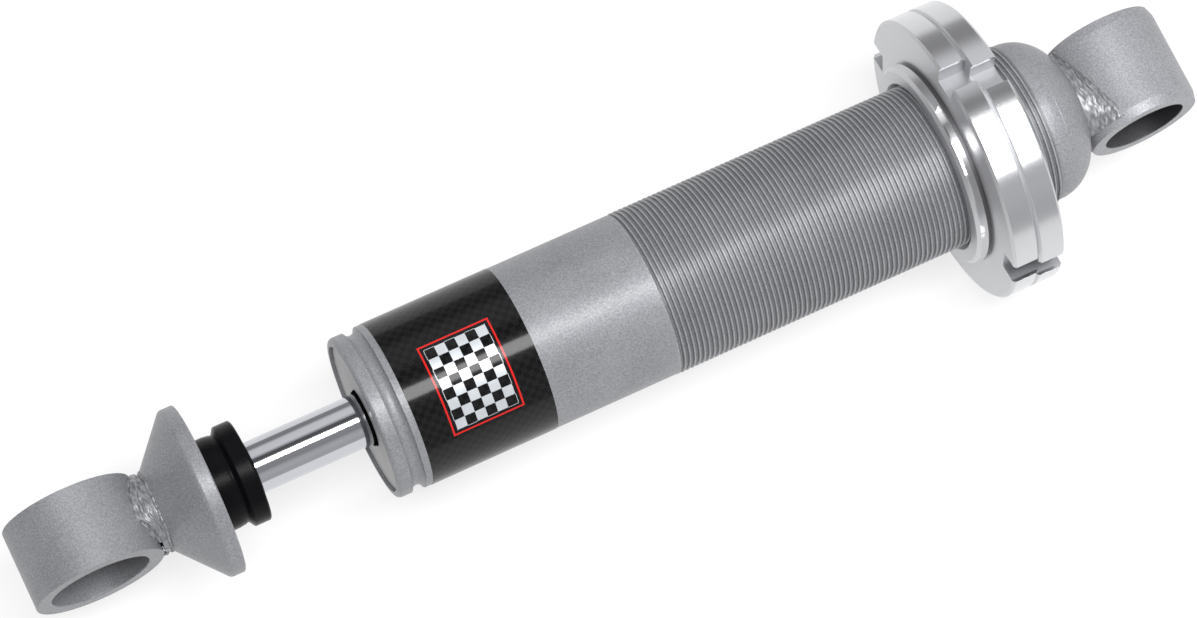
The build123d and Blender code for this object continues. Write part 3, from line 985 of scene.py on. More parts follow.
@dataclass(frozen=True)
class Bead:
    """A weld bead with strands and lumps, laid between two lines, in millimetres."""

    height: float
    roll: float
    seed: float
    thickness: float = 1.4
    toe: float = 0.0
    runs: int = 150
    rows: int = 34
    length_steps: int = 40
    sway_length: float = 3.0
    strand_length: float = 6.0
    strand_width: float = 1.2
    strand_sway: float = 0.9
    lump_length: float = 2.4
    lump_width: float = 2.0
    toe_place: float = 0.88
    toe_half_width: float = 0.07

    def lay(self, start: Line, end: Line, outward: Line) -> bmesh.types.BMesh:
        """Lays the bead.

        Args:
            start: The first line, as a place for each number from nought to one.
            end: The second line, beside which the toe's thin ridge stands.
            outward: The way the bead bulges.

        Returns:
            A closed shape.
        """
        shape = bmesh.new()
        bmesh.ops.create_grid(shape, x_segments=self.runs, y_segments=self.rows, size=1.0)
        steps = self.length_steps
        length = sum((start(step / steps) - start((step + 1) / steps)).length for step in range(steps))
        for corner in shape.verts:
            along = (corner.co.x + 1) / 2
            across = (corner.co.y + 1) / 2
            low, high, away = start(along), end(along), outward(along)
            rise = self._rise(along, across, along * length, across * (high - low).length)
            corner.co = low.lerp(high, across) + away * rise
        bmesh.ops.recalc_face_normals(shape, faces=shape.faces)
        middle = shape.faces[len(shape.faces) // 2]
        if middle.normal.dot(outward(0.5)) < 0:
            bmesh.ops.reverse_faces(shape, faces=shape.faces)
        bmesh.ops.solidify(shape, geom=shape.faces, thickness=self.thickness)
        return shape

    def _rise(self, along: float, across: float, run: float, reach: float) -> float:
        """How far the bead stands out at one place.

        Args:
            along: The place along the bead, from nought to one.
            across: The place across it, from nought to one.
            run: The way along it in millimetres.
            reach: The way across it in millimetres.

        Returns:
            The rise in millimetres.
        """
        sway = noise.noise(Vector((run / self.sway_length, self.seed, 0.3)))
        strand_place = (reach + self.strand_sway * sway) / self.strand_width
        strand = 1 - 2.4 * abs(noise.noise(Vector((run / self.strand_length, strand_place, self.seed))))
        lump = noise.noise(Vector((run / self.lump_length, reach / self.lump_width, self.seed + 5.0)))
        arch = max(math.sin(math.pi * across), 0.0)
        rough = self.roll * (0.6 + 0.7 * along) * math.sqrt(arch) * (0.9 * strand + 0.6 * lump - 0.6)
        fall = (across - self.toe_place) / self.toe_half_width
        ridge = self.toe * max(0.0, 1 - fall**2) * (0.9 + 0.8 * sway)
        return self.height * arch + rough + ridge


@dataclass
class Assembly:
    """Pieces that ride on one body of the frame."""

    body: str
    materials: dict[str, bpy.types.Material]

    def add(
        self, name: str, shape: bmesh.types.BMesh, slot: str, *nodes: str, finish: str = ""
    ) -> bpy.types.Object:
        """Adds a piece to this body.

        Args:
            name: The piece's name.
            shape: Its shape, which is used up.
            slot: Its material slot.
            nodes: The CAD nodes that it stands for.
            finish: Its finish, where that isn't the slot's own.

        Returns:
            The piece.
        """
        thing = make_object(name, shape)
        smooth(thing, WELD_EDGE if slot == "weld_metal" else SHARP_EDGE)
        thing.data.materials.append(self.materials[finish or slot])
        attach(thing, self.body)
        if nodes:
            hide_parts(*nodes)
        LOG.info("%s rides on %s with %d faces", name, self.body, len(thing.data.polygons))
        return thing


@dataclass
class Eye:
    """A mounting eye, bored along Y."""

    node: str
    bore: float
    edge_break: float = 0.25
    taper_length: float = 0.0
    taper_depth: float = 0.0
    rounding: float = 0.35

    @property
    def centre(self) -> float:
        """The bore's place on the shock's axis."""
        return Extent.of(self.node).middle

    @property
    def reach(self) -> float:
        """The outer radius."""
        return Extent.of(self.node).length / 2

    @property
    def half_width(self) -> float:
        """Half the width along the bore."""
        return Extent.of(self.node).reach

    def shape(self) -> bmesh.types.BMesh:
        """The eye, with its tapered or plain ends and broken edges.

        Returns:
            A closed shape.
        """
        outer, half = self.reach, self.half_width
        side = [(-half, self.bore + self.edge_break), (-half, outer - self.taper_depth)]
        if self.taper_length:
            side.append((-half + self.taper_length, outer))
        other = [(-place, radius) for place, radius in reversed(side)]
        inside = [(half - self.edge_break, self.bore), (-half + self.edge_break, self.bore)]
        shape = lathe(side + other + inside, steps=160, about=Direction.BORE, centre=(self.centre, 0.0))
        soften(shape, self.rounding, segments=3, sharper_than=12.0)
        return shape

    def surface_at(self, across: float, up: float) -> Vector:
        """The place on the eye's outside at a height, on the side towards the shock's middle.

        Args:
            across: The place along the bore.
            up: The height.

        Returns:
            The place.
        """
        side = 1 if self.centre < -self.reach else -1
        along = self.centre + side * math.sqrt(self.reach**2 - up**2)
        return Vector((along, across, up))


@dataclass
class RodEnd(Assembly):
    """The rod with its eye, welds, seat cone and bump stop."""

    eye_bore: float = 15.1
    rod_radius: float = 7.9375
    stud_radius: float = 6.35
    snap_ring_depth: float = 0.95
    neck_radius: float = 11.9
    neck_length: float = 2.2
    rim_width: float = 4.4
    rim_chamfer: float = 0.4
    stop_seat_radius: float = 16.0
    stop_seat_depth: float = 0.5
    stop_body_radius: float = 14.15
    stop_body_length: float = 6.2
    stop_waist_radius: float = 13.75
    stop_waist_length: float = 1.1
    stop_recess_radius: float = 9.0
    stop_recess_depth: float = 1.1
    stop_lip_radius: float = 9.8
    stop_lip_height: float = 0.8
    stop_rounding: float = 0.35
    weld_first: float = 97.0
    weld_last: float = -58.0
    weld_far_side: float = 95.0
    weld_over_neck: float = 1.5
    weld_lift: float = 0.1
    weld_sink: float = 0.2
    weld_from_edge: float = 0.4
    weld_lean: float = -0.25
    ridge_radius: float = 0.5
    ridge_forward: float = 0.05
    ridge_lift: float = 0.15
    ridge_sway: float = 0.45
    ridge_swell: float = 0.55

    def build(self) -> None:
        """Builds every piece on the rod."""
        self.eye = Eye("rod_eye", self.eye_bore)
        self.cone = Extent.of("seat_cone")
        self.add("rod_eye_looks", self.eye.shape(), "silver_paint", "rod_eye", finish="rod_eye_paint")
        self.add("rod_eye_weld_looks", self._weld(), "weld_metal", "rod_eye_weld")
        self.add("seat_cone_looks", self._cone(), "silver_paint", "seat_cone")
        self.add("bump_stop_looks", self._stop(), "black_rubber", "bump_stop")
        self.add("piston_rod_looks", self._rod(), "hard_chrome", "piston_rod")

    def _neck_line(self, first: float, last: float, place: float, radius: float) -> Line:
        """A line round the axis between two angles, in degrees from straight up.

        Args:
            first: The angle it starts at.
            last: The angle it ends at.
            place: Its place along the axis.
            radius: Its distance from the axis.

        Returns:
            The line, as a place for each number from nought to one.
        """

        def at(along: float) -> Vector:
            """The place on the line."""
            angle = math.radians(first + (last - first) * along)
            return Vector((place, radius * math.sin(angle), radius * math.cos(angle)))

        return at

    def _weld(self) -> bmesh.types.BMesh:
        """The bead between eye and neck above and below, and a thin ridge at the cone's root.

        Returns:
            The parts as one shape, each of them closed.
        """
        above = self._half_weld(self.weld_first, self.weld_last, 1)
        below = self._half_weld(self.weld_far_side, -self.weld_far_side, -1)
        return joined(above, below, self._ridge())

    def _half_weld(self, first: float, last: float, side: int) -> bmesh.types.BMesh:
        """One bead, above (1) or below (-1) the shock's middle.

        Args:
            first: The angle it starts at, in degrees from straight up.
            last: The angle it ends at.
            side: Above (1) or below (-1).

        Returns:
            A closed shape.
        """
        end = self.cone.start + self.weld_over_neck
        neck = self._neck_line(first, last, end, self.neck_radius + self.weld_lift)
        out = self._neck_line(first, last, 0.0, 1.0)

        def on_neck(along: float) -> Vector:
            """The bead's line on the neck."""
            place = neck(along)
            return Vector((place.x, place.y, side * place.z))

        def on_eye(along: float) -> Vector:
            """The bead's line on the eye, kept off the eye's ends.

            Args:
                along: The place along the bead, from nought to one.

            Returns:
                The place.
            """
            place = neck(along)
            inner = min(abs(place.y), self.eye.half_width - self.weld_from_edge)
            across = math.copysign(inner, place.y)
            return self.eye.surface_at(across, side * place.z) - Vector((self.weld_sink, 0, 0))

        def outward(along: float) -> Vector:
            """The way that the bead bulges, away from the axis."""
            away = out(along)
            return Vector((self.weld_lean, away.y, side * away.z)).normalized()

        return Bead(height=0.5, roll=0.62, seed=2.0 + side).lay(on_eye, on_neck, outward)

    def _ridge(self) -> bmesh.types.BMesh:
        """The thin uneven ridge where the neck meets the cone.

        Returns:
            A closed shape.
        """
        middle = self.cone.start + self.neck_length + self.ridge_forward
        section = arc((middle, self.neck_radius + self.ridge_lift), self.ridge_radius, 0, 330, 11)
        shape = lathe(section)
        for corner in shape.verts:
            angle = math.atan2(corner.co.y, corner.co.z)
            sway = noise.noise(Vector((angle * 4.0, 0.7, 0.2)))
            swell = self.ridge_swell * noise.noise(Vector((angle * 11.0, 3.1, 0.4)))
            corner.co.x += self.ridge_sway * sway
            corner.co.yz = corner.co.yz * (1 + swell / self.neck_radius)
        return shape

    def _cone(self) -> bmesh.types.BMesh:
        """The turned cone.

        Returns:
            A closed shape.
        """
        cone, chamfer = self.cone, self.rim_chamfer
        rim_back = cone.end - self.rim_width
        bore = self.rod_radius + 0.02
        section = [
            (cone.start, bore),
            (cone.start, self.neck_radius),
            (cone.start + self.neck_length, self.neck_radius),
            (rim_back - chamfer, cone.reach - chamfer),
            (rim_back + chamfer, cone.reach),
            (cone.end - chamfer, cone.reach),
            (cone.end, cone.reach - chamfer),
            (cone.end, self.stop_seat_radius),
            (cone.end - self.stop_seat_depth, self.stop_seat_radius),
            (cone.end - self.stop_seat_depth, bore),
        ]
        shape = lathe(section)
        soften(shape, width=0.18, sharper_than=18.0)
        return shape

    def _stop(self) -> bmesh.types.BMesh:
        """The rubber stop: a body, a waist and a flange recessed for the wiper's lip.

        Returns:
            A closed shape.
        """
        stop = Extent.of("bump_stop")
        bore = self.rod_radius + 0.02
        flange = self.cone.end + self.stop_body_length + self.stop_waist_length
        front = stop.end - self.stop_lip_height
        section = [
            (stop.start, bore),
            (stop.start, self.stop_body_radius),
            (flange - 3.6, self.stop_body_radius),
            (flange - 2.6, self.stop_body_radius - 0.15),
            (flange - 1.7, self.stop_waist_radius + 0.15),
            (flange - 1.1, self.stop_waist_radius - 0.1),
            (flange - 0.6, self.stop_waist_radius),
            (flange - 0.1, stop.reach - 1.1),
            (flange + 0.5, stop.reach - 0.1),
            (flange + 0.9, stop.reach),
            (front - 0.5, stop.reach),
            (front, stop.reach - 0.5),
            (front, self.stop_lip_radius),
            (stop.end - 0.3, self.stop_lip_radius),
            (stop.end, self.stop_lip_radius - 0.4),
            (stop.end, self.stop_recess_radius),
            (stop.end - self.stop_recess_depth, self.stop_recess_radius - 0.2),
            (stop.end - self.stop_recess_depth, bore),
        ]
        shape = lathe(section)
        soften(shape, self.stop_rounding, segments=3, sharper_than=20.0)
        return shape

    def _rod(self) -> bmesh.types.BMesh:
        """The chromed rod with its groove and stud.

        Returns:
            A closed shape.
        """
        rod = Extent.of("piston_rod")
        ring = Extent.of("rebound_ring")
        shoulder = Extent.of("compression_stop").start
        groove = self.rod_radius - self.snap_ring_depth
        section = [
            (rod.start, 0.0),
            (rod.start, self.rod_radius),
            (ring.start, self.rod_radius),
            (ring.start, groove),
            (ring.end, groove),
            (ring.end, self.rod_radius),
            (shoulder, self.rod_radius),
            (shoulder, self.stud_radius),
            (rod.end - 0.8, self.stud_radius),
            (rod.end, self.stud_radius - 0.8),
            (rod.end, 0.0),
        ]
        return lathe(section)


@dataclass
class ShockBody(Assembly):
    """The body: tube, label, dome, eye, weld, face plate and wiper."""

    eye_bore: float = 12.7
    taper_length: float = 3.0
    taper_depth: float = 0.8
    tube_radius: float = 25.4
    bore_radius: float = 23.0
    lip_radius: float = 25.2
    lip_round: float = 1.4
    groove_from_mouth: float = 6.5
    groove_depth: float = 1.75
    groove_width: float = 4.3
    relief_radius: float = 25.2
    relief_length: float = 0.4
    thread_length: float = 126.2
    thread_pitch: float = 1.5875
    thread_depth: float = 0.62
    thread_crest: float = 0.30
    thread_root: float = 0.73
    thread_fade: float = 1.1
    turn_steps: int = 150
    label_from_mouth: float = 10.7
    label_length: float = 40.0
    label_thickness: float = 0.12
    label_gap: float = 0.01
    dome_knuckle: float = 14.0
    dome_inner_knuckle: float = 11.4
    dome_straight: float = 1.6
    dome_wall: float = 3.2
    dome_turnings: tuple[Point, ...] = ((86, 76), (75, 57))
    dome_last_turning: float = 56.0
    dome_step_along: float = 0.10
    dome_step_in: float = 0.12
    weld_place: float = -18.6
    weld_near: float = 14.4
    weld_span: float = 28.2
    weld_least_height: float = 2.0
    weld_reach: float = 16.2
    weld_narrowing: float = 7.4
    weld_narrowing_rate: float = 1.12
    weld_sink: float = 0.1
    plate_bore: float = 8.9
    plate_chamfer: float = 0.4
    plate_forward: float = 0.15
    rod_clearance: float = 7.98
    wiper_lip: float = 0.85
    wiper_lip_radius: float = 8.5
    wiper_gap: float = 0.05

    def build(self) -> None:
        """Builds every visible piece of the body."""
        self.tube = Extent.of("body_tube")
        self.dome = Extent.of("end_dome")
        taper = {"taper_length": self.taper_length, "taper_depth": self.taper_depth}
        self.eye = Eye("body_eye", self.eye_bore, rounding=0.7, **taper)
        self.add("body_tube_looks", self._tube(), "silver_paint", "body_tube", finish="threaded_paint")
        self.add("end_dome_looks", self._dome(), "silver_paint", "end_dome")
        self.add("body_eye_looks", self.eye.shape(), "silver_paint", "body_eye", finish="body_eye_paint")
        self.add("body_eye_weld_looks", self._weld(), "weld_metal", "body_eye_weld")
        self.add("face_plate_looks", self._plate(), "plate_steel", "face_plate")
        self.add("wiper_looks", self._wiper(), "seal_rubber", "wiper_seal")
        self.add("label_film", self._label(), "silver_paint", finish="label_film")

    def _thread(self) -> tuple[bmesh.types.BMesh, float, float]:
        """The thread's skin.

        Returns:
            The open skin, and the places of its two round ends.
        """
        foot = self.tube.end - self.relief_length
        first = foot - self.thread_length
        crest, root = self.tube.reach, self.tube.reach - self.thread_depth
        flank = (self.thread_pitch - self.thread_crest - self.thread_root) / 2
        valley = self.thread_crest + flank
        steps = (0.0, self.thread_crest, valley, valley + self.thread_root)
        radii = (crest, crest, root, root)
        shape = bmesh.new()
        count = math.ceil(self.thread_length / self.thread_pitch) + 3
        corners = []
        for tooth in range(-2, count):
            start = first + tooth * self.thread_pitch
            corners += [shape.verts.new((start + step, 0.0, radius)) for step, radius in zip(steps, radii)]
        edges = [shape.edges.new(pair) for pair in zip(corners, corners[1:])]
        bmesh.ops.spin(
            shape,
            geom=corners + edges,
            cent=(0, 0, 0),
            axis=(1, 0, 0),
            dvec=(self.thread_pitch / self.turn_steps, 0, 0),
            angle=2 * math.pi,
            steps=self.turn_steps,
        )
        bmesh.ops.remove_doubles(shape, verts=shape.verts, dist=THREAD_MERGE)
        for corner in shape.verts:
            self._fade(corner, first, 1, self.tube_radius, self.thread_fade)
            self._fade(corner, foot, -1, self.relief_radius, self.thread_fade / 3)
        for place, side in ((first, -1), (foot, 1)):
            geometry = shape.verts[:] + shape.edges[:] + shape.faces[:]
            bmesh.ops.bisect_plane(
                shape, geom=geometry, plane_co=(place, 0, 0), plane_no=(side, 0, 0), clear_outer=True
            )
        return shape, first, foot

    @staticmethod
    def _fade(corner: bmesh.types.BMVert, end: float, side: int, radius: float, length: float) -> None:
        """Lets the thread run out to a plain radius near one of its ends.

        Args:
            corner: A corner of the thread's skin.
            end: The place where the thread ends.
            side: The way in from that end, along (1) or against (-1) the axis.
            radius: The plain radius.
            length: How long the fading stretch is.
        """
        depth = side * (corner.co.x - end) / length
        if depth >= 1:
            return
        share = max(0.0, depth)
        share = share * share * (3 - 2 * share)
        now = math.hypot(corner.co.y, corner.co.z)
        corner.co.yz = corner.co.yz * ((radius + (now - radius) * share) / now)

    def _outside(self) -> list[Point]:
        """The outline from the thread to the mouth, and back along the bore to the tube's foot.

        Returns:
            The outline's points, as places along the axis and radii.
        """
        mouth = self.tube.start
        centre = mouth + self.groove_from_mouth
        half = self.groove_width / 2
        rolled = (half**2 + self.groove_depth**2) / (2 * self.groove_depth)
        height = self.tube_radius - self.groove_depth + rolled
        right = math.degrees(math.asin((self.tube_radius - height) / rolled))
        left = math.degrees(math.asin((self.lip_radius - height) / rolled))
        points = arc((centre, height), rolled, right, -180 - left, 14)
        points += arc((mouth + self.lip_round, self.lip_radius - self.lip_round), self.lip_round, 90, 180, 7)
        points.append((mouth, self.bore_radius))
        bead_radius = rolled + self.tube_radius - self.bore_radius
        lean = math.degrees(math.asin((self.bore_radius - height) / bead_radius))
        points += arc((centre, height), bead_radius, -180 - lean, lean, 12)
        points.append((self.tube.end, self.bore_radius))
        return points

    def _tube(self) -> bmesh.types.BMesh:
        """The tube as one closed shell: thread, plain stretch, rolled groove, lip and bore.

        Returns:
            A closed shape.
        """
        shape, first, foot = self._thread()
        ends = {}
        for place in (first, foot):
            ends[place] = [
                edge
                for edge in shape.edges
                if edge.is_boundary and all(abs(corner.co.x - place) < THREAD_MERGE for corner in edge.verts)
            ]
        inner = self._run_out(shape, ends[first], self._outside())
        relief = [(foot + 0.2, self.relief_radius), (self.tube.end, self.relief_radius)]
        outer = self._run_out(shape, ends[foot], relief)
        bmesh.ops.bridge_loops(shape, edges=inner + outer)
        return shape

    @staticmethod
    def _run_out(
        shape: bmesh.types.BMesh, ring: list[bmesh.types.BMEdge], points: Sequence[Point]
    ) -> list[bmesh.types.BMEdge]:
        """Extrudes a round open end along an outline.

        Args:
            shape: The shape it belongs to.
            ring: The open end's edges.
            points: The outline, as places along the axis and radii.

        Returns:
            The new open end's edges.
        """
        for place, radius in points:
            made = bmesh.ops.extrude_edge_only(shape, edges=ring)["geom"]
            corners = {part for part in made if isinstance(part, bmesh.types.BMVert)}
            for corner in corners:
                now = math.hypot(corner.co.y, corner.co.z)
                corner.co.x = place
                corner.co.yz = corner.co.yz * (radius / now)
            ring = [
                part
                for part in made
                if isinstance(part, bmesh.types.BMEdge) and all(end in corners for end in part.verts)
            ]
        return ring

    def _dome(self) -> bmesh.types.BMesh:
        """The turned dome, with two fine steps where its skirt ends.

        Returns:
            A closed shape.
        """
        outer = self.dome.reach
        knuckle = self.dome.start + self.dome_straight
        centre = outer - self.dome_knuckle
        top = math.degrees(math.acos((self.dome.end - knuckle) / self.dome_knuckle))
        inner_end = self.dome.end - self.dome_wall
        inner_centre = self.bore_radius - self.dome_inner_knuckle
        reach = min(1.0, (inner_end - knuckle) / self.dome_inner_knuckle)
        inner_top = math.degrees(math.acos(reach))
        section = [(self.dome.start, self.bore_radius), (self.dome.start, outer - 0.25)]
        section += [(self.dome.start + 0.5, outer), (knuckle - 0.4, outer)]
        section.append((knuckle, outer))
        for first, last in (*self.dome_turnings, (self.dome_last_turning, top)):
            section += arc((knuckle, centre), self.dome_knuckle, first, last, 8)
            place, radius = section[-1]
            section.append((place + self.dome_step_along, radius - self.dome_step_in))
        section.pop()
        section.append((self.dome.end, 0.0))
        section.append((inner_end, 0.0))
        section += arc((knuckle, inner_centre), self.dome_inner_knuckle, inner_top, 90, 8)
        shape = lathe(section)
        soften(shape, width=0.3, sharper_than=30.0)
        return shape

    def _weld(self) -> bmesh.types.BMesh:
        """The beads between dome and eye, above and below."""
        return joined(self._half_weld(1), self._half_weld(-1))

    def _half_weld(self, side: int) -> bmesh.types.BMesh:
        """One bead, which widens towards -Y.

        Args:
            side: Above (1) or below (-1) the shock's middle.

        Returns:
            A closed shape.
        """

        def across(along: float) -> float:
            """The place along Y."""
            return self.weld_near - self.weld_span * along

        def on_dome(along: float) -> Vector:
            """The bead's line on the dome.

            Args:
                along: The place along the bead, from nought to one.

            Returns:
                The place.
            """
            depth = self.weld_place - (self.dome.start + self.dome_straight)
            radius = self.dome.reach - self.dome_knuckle + math.sqrt(self.dome_knuckle**2 - depth**2)
            height = math.sqrt(max(radius**2 - across(along) ** 2, self.weld_least_height**2))
            return Vector((self.weld_place, across(along), side * height))

        def on_eye(along: float) -> Vector:
            """The bead's line on the eye.

            Args:
                along: The place along the bead, from nought to one.

            Returns:
                The place.
            """
            reach = self.weld_reach - self.weld_narrowing * min(1.0, along * self.weld_narrowing_rate)
            up = math.sqrt(self.eye.reach**2 - reach**2)
            return Vector((-reach, across(along), side * (up - self.weld_sink)))

        def outward(along: float) -> Vector:
            """The way that the bead bulges."""
            return Vector((-0.45, 0.0, side * 0.9)).normalized()

        bead = Bead(height=0.3, roll=0.38, seed=6.0 + side, thickness=1.6, toe=0.65)
        return bead.lay(on_dome, on_eye, outward)

    @property
    def plate_front(self) -> float:
        """The place of the cover's outer face."""
        return Extent.of("face_plate").start - self.plate_forward

    def _plate(self) -> bmesh.types.BMesh:
        """The cover in the tube's mouth.

        Returns:
            A closed shape.
        """
        plate = Extent.of("face_plate")
        front = self.plate_front
        section = [
            (plate.end, self.plate_bore),
            (front, self.plate_bore),
            (front, plate.reach - self.plate_chamfer),
            (front + self.plate_chamfer, plate.reach),
            (plate.end, plate.reach),
        ]
        shape = lathe(section)
        soften(shape, width=0.1)
        return shape

    def _wiper(self) -> bmesh.types.BMesh:
        """The scraper ring, whose lip stands out of the cover's bore.

        Returns:
            A closed shape.
        """
        wiper = Extent.of("wiper_seal")
        back = Extent.of("face_plate").end
        front = self.plate_front
        neck = self.plate_bore - self.wiper_gap
        section = [
            (wiper.end, self.rod_clearance),
            (front - self.wiper_lip, self.rod_clearance),
            (front - self.wiper_lip, self.wiper_lip_radius),
            (front, neck),
            (back, neck),
            (back, wiper.reach),
            (wiper.end, wiper.reach),
        ]
        return lathe(section)

    def _label(self) -> bmesh.types.BMesh:
        """The film wrapped round the tube.

        Returns:
            A closed shape.
        """
        start = self.tube.start + self.label_from_mouth
        end = start + self.label_length
        inner = self.tube_radius + self.label_gap
        outer = self.tube_radius + self.label_thickness
        edge = self.label_thickness / 2
        section = [
            (start, inner),
            (start, outer - edge),
            (start + edge, outer),
            (end - edge, outer),
            (end, outer - edge),
            (end, inner),
        ]
        return lathe(section)


@dataclass
class NotchedNut(Assembly):
    """A round nut with spanner notches, which may carry a boss for the spring."""

    node: str = ""
    turned_by: float = 0.0
    notches: int = 4
    notch_width: float = 8.3
    notch_depth: float = 6.7
    edge_chamfer: float = 0.8
    bore: float = 25.64
    bore_chamfer: float = 1.2
    edge_break: float = 0.16
    cutter_past: float = 2.0

    def build(self) -> None:
        """Turns the nut, mills its notches and breaks its edges."""
        nut = Extent.of(self.node)
        blank = make_object(self.node + "_blank", lathe(self.section(nut), steps=192))
        cutters = make_object(self.node + "_cutters", self._cutters(nut))
        cut = blank.modifiers.new("notches", "BOOLEAN")
        cut.operation = "DIFFERENCE"
        cut.solver = "EXACT"
        cut.object = cutters
        depsgraph = bpy.context.evaluated_depsgraph_get()
        shape = bmesh.new()
        shape.from_object(blank, depsgraph)
        shape.transform(Matrix.Scale(1 / MM, 4))
        for thing in (blank, cutters):
            bpy.data.objects.remove(thing)
        bmesh.ops.remove_doubles(shape, verts=shape.verts, dist=CUT_MERGE)
        bmesh.ops.dissolve_degenerate(shape, edges=shape.edges, dist=CUT_MERGE)
        soften(shape, self.edge_break, sharper_than=28.0)
        self.add(self.node + "_looks", shape, "machined_aluminium", self.node)

    def section(self, nut: Extent) -> list[Point]:
        """The half section of a plain nut.

        Args:
            nut: Where the nut lies.

        Returns:
            The closed outline, as places along the axis and radii.
        """
        return [
            (nut.start, self.bore),
            (nut.start, nut.reach - self.edge_chamfer),
            (nut.start + self.edge_chamfer, nut.reach),
            (nut.end - self.edge_chamfer, nut.reach),
            (nut.end, nut.reach - self.edge_chamfer),
            (nut.end, self.bore + self.bore_chamfer),
            (nut.end - self.bore_chamfer, self.bore),
        ]

    def _cutters(self, nut: Extent) -> bmesh.types.BMesh:
        """The blocks that mill the notches.

        Args:
            nut: Where the nut lies.

        Returns:
            Blocks at the nut's rim, one for each notch.
        """
        shape = bmesh.new()
        past = self.cutter_past
        size = Vector((nut.length + 2 * past, self.notch_width, self.notch_depth + past))
        middle = Vector((nut.middle, 0, nut.reach - self.notch_depth + size.z / 2))
        for index in range(self.notches):
            turn = Matrix.Rotation(math.radians(self.turned_by + index * 360 / self.notches), 4, "X")
            place = turn @ Matrix.Translation(middle) @ Matrix.Diagonal((*size, 1))
            bmesh.ops.create_cube(shape, size=1.0, matrix=place)
        return shape


@dataclass
class SpringSeatNut(NotchedNut):
    """The nut with the boss that centres the spring."""

    pilot_radius: float = 31.6
    pilot_length: float = 4.8
    pilot_chamfer: float = 1.0
    undercut_width: float = 1.4
    undercut_depth: float = 1.0
    undercut_sink: float = 0.3
    undercut_reach: float = 0.25

    def section(self, nut: Extent) -> list[Point]:
        """The half section with boss and undercut.

        Args:
            nut: Where the nut lies.

        Returns:
            The closed outline, as places along the axis and radii.
        """
        seat = nut.start + self.pilot_length
        root = self.pilot_radius - self.undercut_depth
        edge = self.pilot_radius + self.undercut_reach
        return [
            (nut.start, self.bore + self.bore_chamfer),
            (nut.start, self.pilot_radius - self.pilot_chamfer),
            (nut.start + self.pilot_chamfer, self.pilot_radius),
            (seat - self.undercut_width, self.pilot_radius),
            (seat - self.undercut_width, root),
            (seat + self.undercut_sink, root),
            (seat + self.undercut_sink, edge),
            (seat, edge),
            (seat, nut.reach - self.edge_chamfer),
            (seat + self.edge_chamfer, nut.reach),
            (nut.end - self.edge_chamfer, nut.reach),
            (nut.end, nut.reach - self.edge_chamfer),
            (nut.end, self.bore),
            (nut.start + self.bore_chamfer, self.bore),
        ]


@dataclass(frozen=True)
class Band:
    """A stretch of the studio round the shock: an angle from straight up towards +Y, and its tone."""

    angle: float
    tone: float


@dataclass(frozen=True)
class SoftBox:
    """A rectangular light that faces the shock's axis."""

    name: str
    angle: float
    start: float
    end: float
    wide: float
    brightness: float
    distance: float = 1500.0

    def hang(self) -> None:
        """Hangs the light at its angle from straight up towards +Y."""
        width = 2 * self.distance * math.tan(math.radians(self.wide / 2))
        length = self.end - self.start
        data = bpy.data.lights.new(self.name, "AREA")
        data.shape = "RECTANGLE"
        data.size = length * MM
        data.size_y = width * MM
        data.energy = 4 * length * width * MM**2 * self.brightness
        light = bpy.data.objects.new(self.name, data)
        turn = math.radians(self.angle)
        way = Vector((0.0, math.sin(turn), math.cos(turn))) * self.distance
        middle = Vector(((self.start + self.end) / 2, 0.0, 0.0))
        light.matrix_world = Matrix.Translation((middle + way) * MM) @ Matrix.Rotation(-turn, 4, "X")
        bpy.context.scene.collection.objects.link(light)


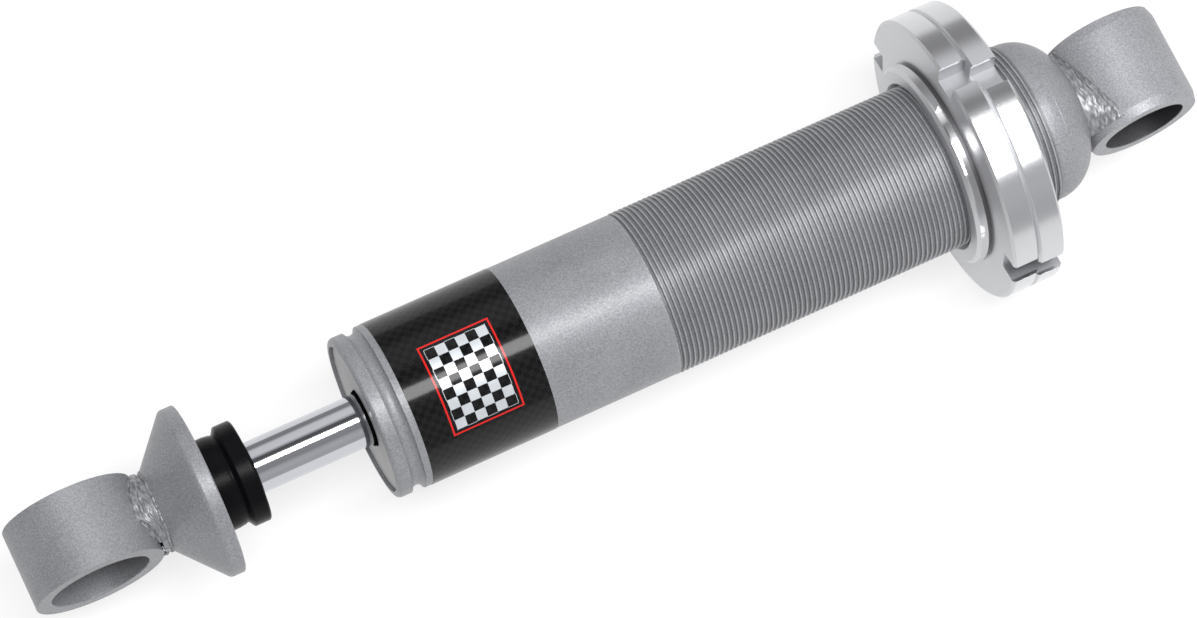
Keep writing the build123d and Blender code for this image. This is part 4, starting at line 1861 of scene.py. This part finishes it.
@dataclass
class Studio:
    """Floor, sky, lights and camera."""

    focal_length: float = 4523.5
    image_width: float = 1197.0
    sensor: float = 36.0
    image_roll: float = 24.05
    axis_lean: float = 10.348
    shock_turn: float = 14.0
    sight_point: Vector = Vector((-0.29, 1.32, 1322.59))
    sight_to_origin: float = 173.4
    floor_half: float = 1500.0
    sky_power: float = 1.0
    dim_side: float = 0.42
    dim_limits: tuple[float, float] = (-0.85, 0.15)
    blue_lift: float = 1.02
    sight_limit: float = 100.0
    lights: tuple[SoftBox, ...] = (
        SoftBox("key_light", -8.5, -920.0, 580.0, 16.0, 10.0),
        SoftBox("side_light", -27.0, -46.0, 4.0, 20.0, 9.0, 220.0),
    )
    bands: tuple[Band, ...] = (
        Band(-180, 0.60),
        Band(-95, 0.60),
        Band(-80, 0.55),
        Band(-62, 0.62),
        Band(-50, 0.55),
        Band(-40, 0.36),
        Band(-22, 0.38),
        Band(-16, 0.50),
        Band(3, 0.45),
        Band(7, 0.12),
        Band(18, 0.14),
        Band(25, 0.60),
        Band(32, 0.92),
        Band(57, 0.88),
        Band(66, 0.50),
        Band(71, 0.30),
        Band(88, 0.36),
        Band(100, 0.45),
        Band(180, 0.60),
    )

    def build(self) -> None:
        """Sets up the studio."""
        self._camera()
        self._floor()
        self._sky()
        for light in self.lights:
            light.hang()
        bpy.context.scene.view_settings.view_transform = "Standard"

    def _camera(self) -> None:
        """The camera that took the photograph, placed in the shock's frame."""
        roll = math.radians(self.image_roll)
        lean = math.radians(self.axis_lean)
        turn = math.radians(self.shock_turn)
        along = Vector((math.cos(lean), 0.0, math.sin(lean)))
        level = Vector((0.0, -1.0, 0.0))
        away = Vector((-math.sin(lean), 0.0, math.cos(lean)))
        across = level * math.cos(turn) + away * math.sin(turn)
        up = level * math.sin(turn) - away * math.cos(turn)
        frame_axes = Matrix((along, across, up))
        right = frame_axes @ Vector((math.cos(roll), math.sin(roll), 0.0))
        down = frame_axes @ Vector((-math.sin(roll), math.cos(roll), 0.0))
        forward = frame_axes @ Vector((0.0, 0.0, 1.0))
        origin = self.sight_point + along * self.sight_to_origin
        place = frame_axes @ -origin
        turned = Matrix((right, -down, -forward)).transposed().to_4x4()
        data = bpy.data.cameras.new("camera")
        data.sensor_width = self.sensor
        data.lens = self.focal_length * self.sensor / self.image_width
        data.clip_end = self.sight_limit
        camera = bpy.data.objects.new("camera", data)
        camera.matrix_world = Matrix.Translation(place * MM) @ turned
        bpy.context.scene.collection.objects.link(camera)
        bpy.context.scene.camera = camera

    def _floor(self) -> None:
        """A plain floor under the lowest point of the shock."""
        shape = bmesh.new()
        bmesh.ops.create_grid(shape, x_segments=4, y_segments=4, size=self.floor_half)
        floor = make_object("floor", shape)
        floor.location.z = CAD_BOX[0][2]
        floor.data.materials.append(PaleFloor("pale_floor").material())

    def _sky(self) -> None:
        """Soft panels of light and dark in bands round the shock's axis."""
        world = bpy.data.worlds.new("studio")
        world.use_nodes = True
        bpy.context.scene.world = world
        nodes = Nodes(world.node_tree)
        along, across, up = nodes.parts("Generated")
        place = across.angle_from(up) * (1 / (2 * math.pi)) + 0.5
        stops = [
            (0.5 + band.angle / 360, (band.tone, band.tone, band.tone * self.blue_lift))
            for band in self.bands
        ]
        bright = nodes.node("ShaderNodeValToRGB", {"stops": stops}, {0: place}).outputs[0]
        side = nodes.soften_step(along, *self.dim_limits)
        dimmed = nodes.mix((0.0, 0.0, 0.0), bright, nodes.between(self.dim_side, 1.0, side))
        seen = nodes.node("ShaderNodeLightPath").outputs["Is Camera Ray"]
        colour = nodes.mix(dimmed, (1.0, 1.0, 1.0), seen)
        back = nodes.node("ShaderNodeBackground", None, {"Color": colour, "Strength": self.sky_power})
        nodes.node("ShaderNodeOutputWorld", None, {"Surface": back.outputs[0]})


def dress_frame(materials: Mapping[str, bpy.types.Material]) -> None:
    """Gives every CAD node the finish of its slot.

    Args:
        materials: The material of each slot.
    """
    for part in frame["record"]["subparts"]:
        mesh = frame["nodes"][part["node"]].data
        mesh.materials.clear()
        mesh.materials.append(materials[part["material_slot"]])


def main() -> None:
    """Builds the looks of every piece in order."""
    logging.basicConfig(level=logging.INFO, format="%(message)s")
    materials = {slot: finish.material() for slot, finish in FINISHES.items()}
    dress_frame(materials)
    for finish in SPECIAL_FINISHES:
        materials[finish.slot] = finish.material()
    Studio().build()
    ShockBody("shock_body", materials).build()
    RodEnd("rod_assembly", materials).build()
    SpringSeatNut("seat_nut", materials, "spring_seat_nut", turned_by=-13.7).build()
    NotchedNut("lock_nut", materials, "lock_nut", turned_by=-9.2).build()


if __name__ == "__main__":
    main()
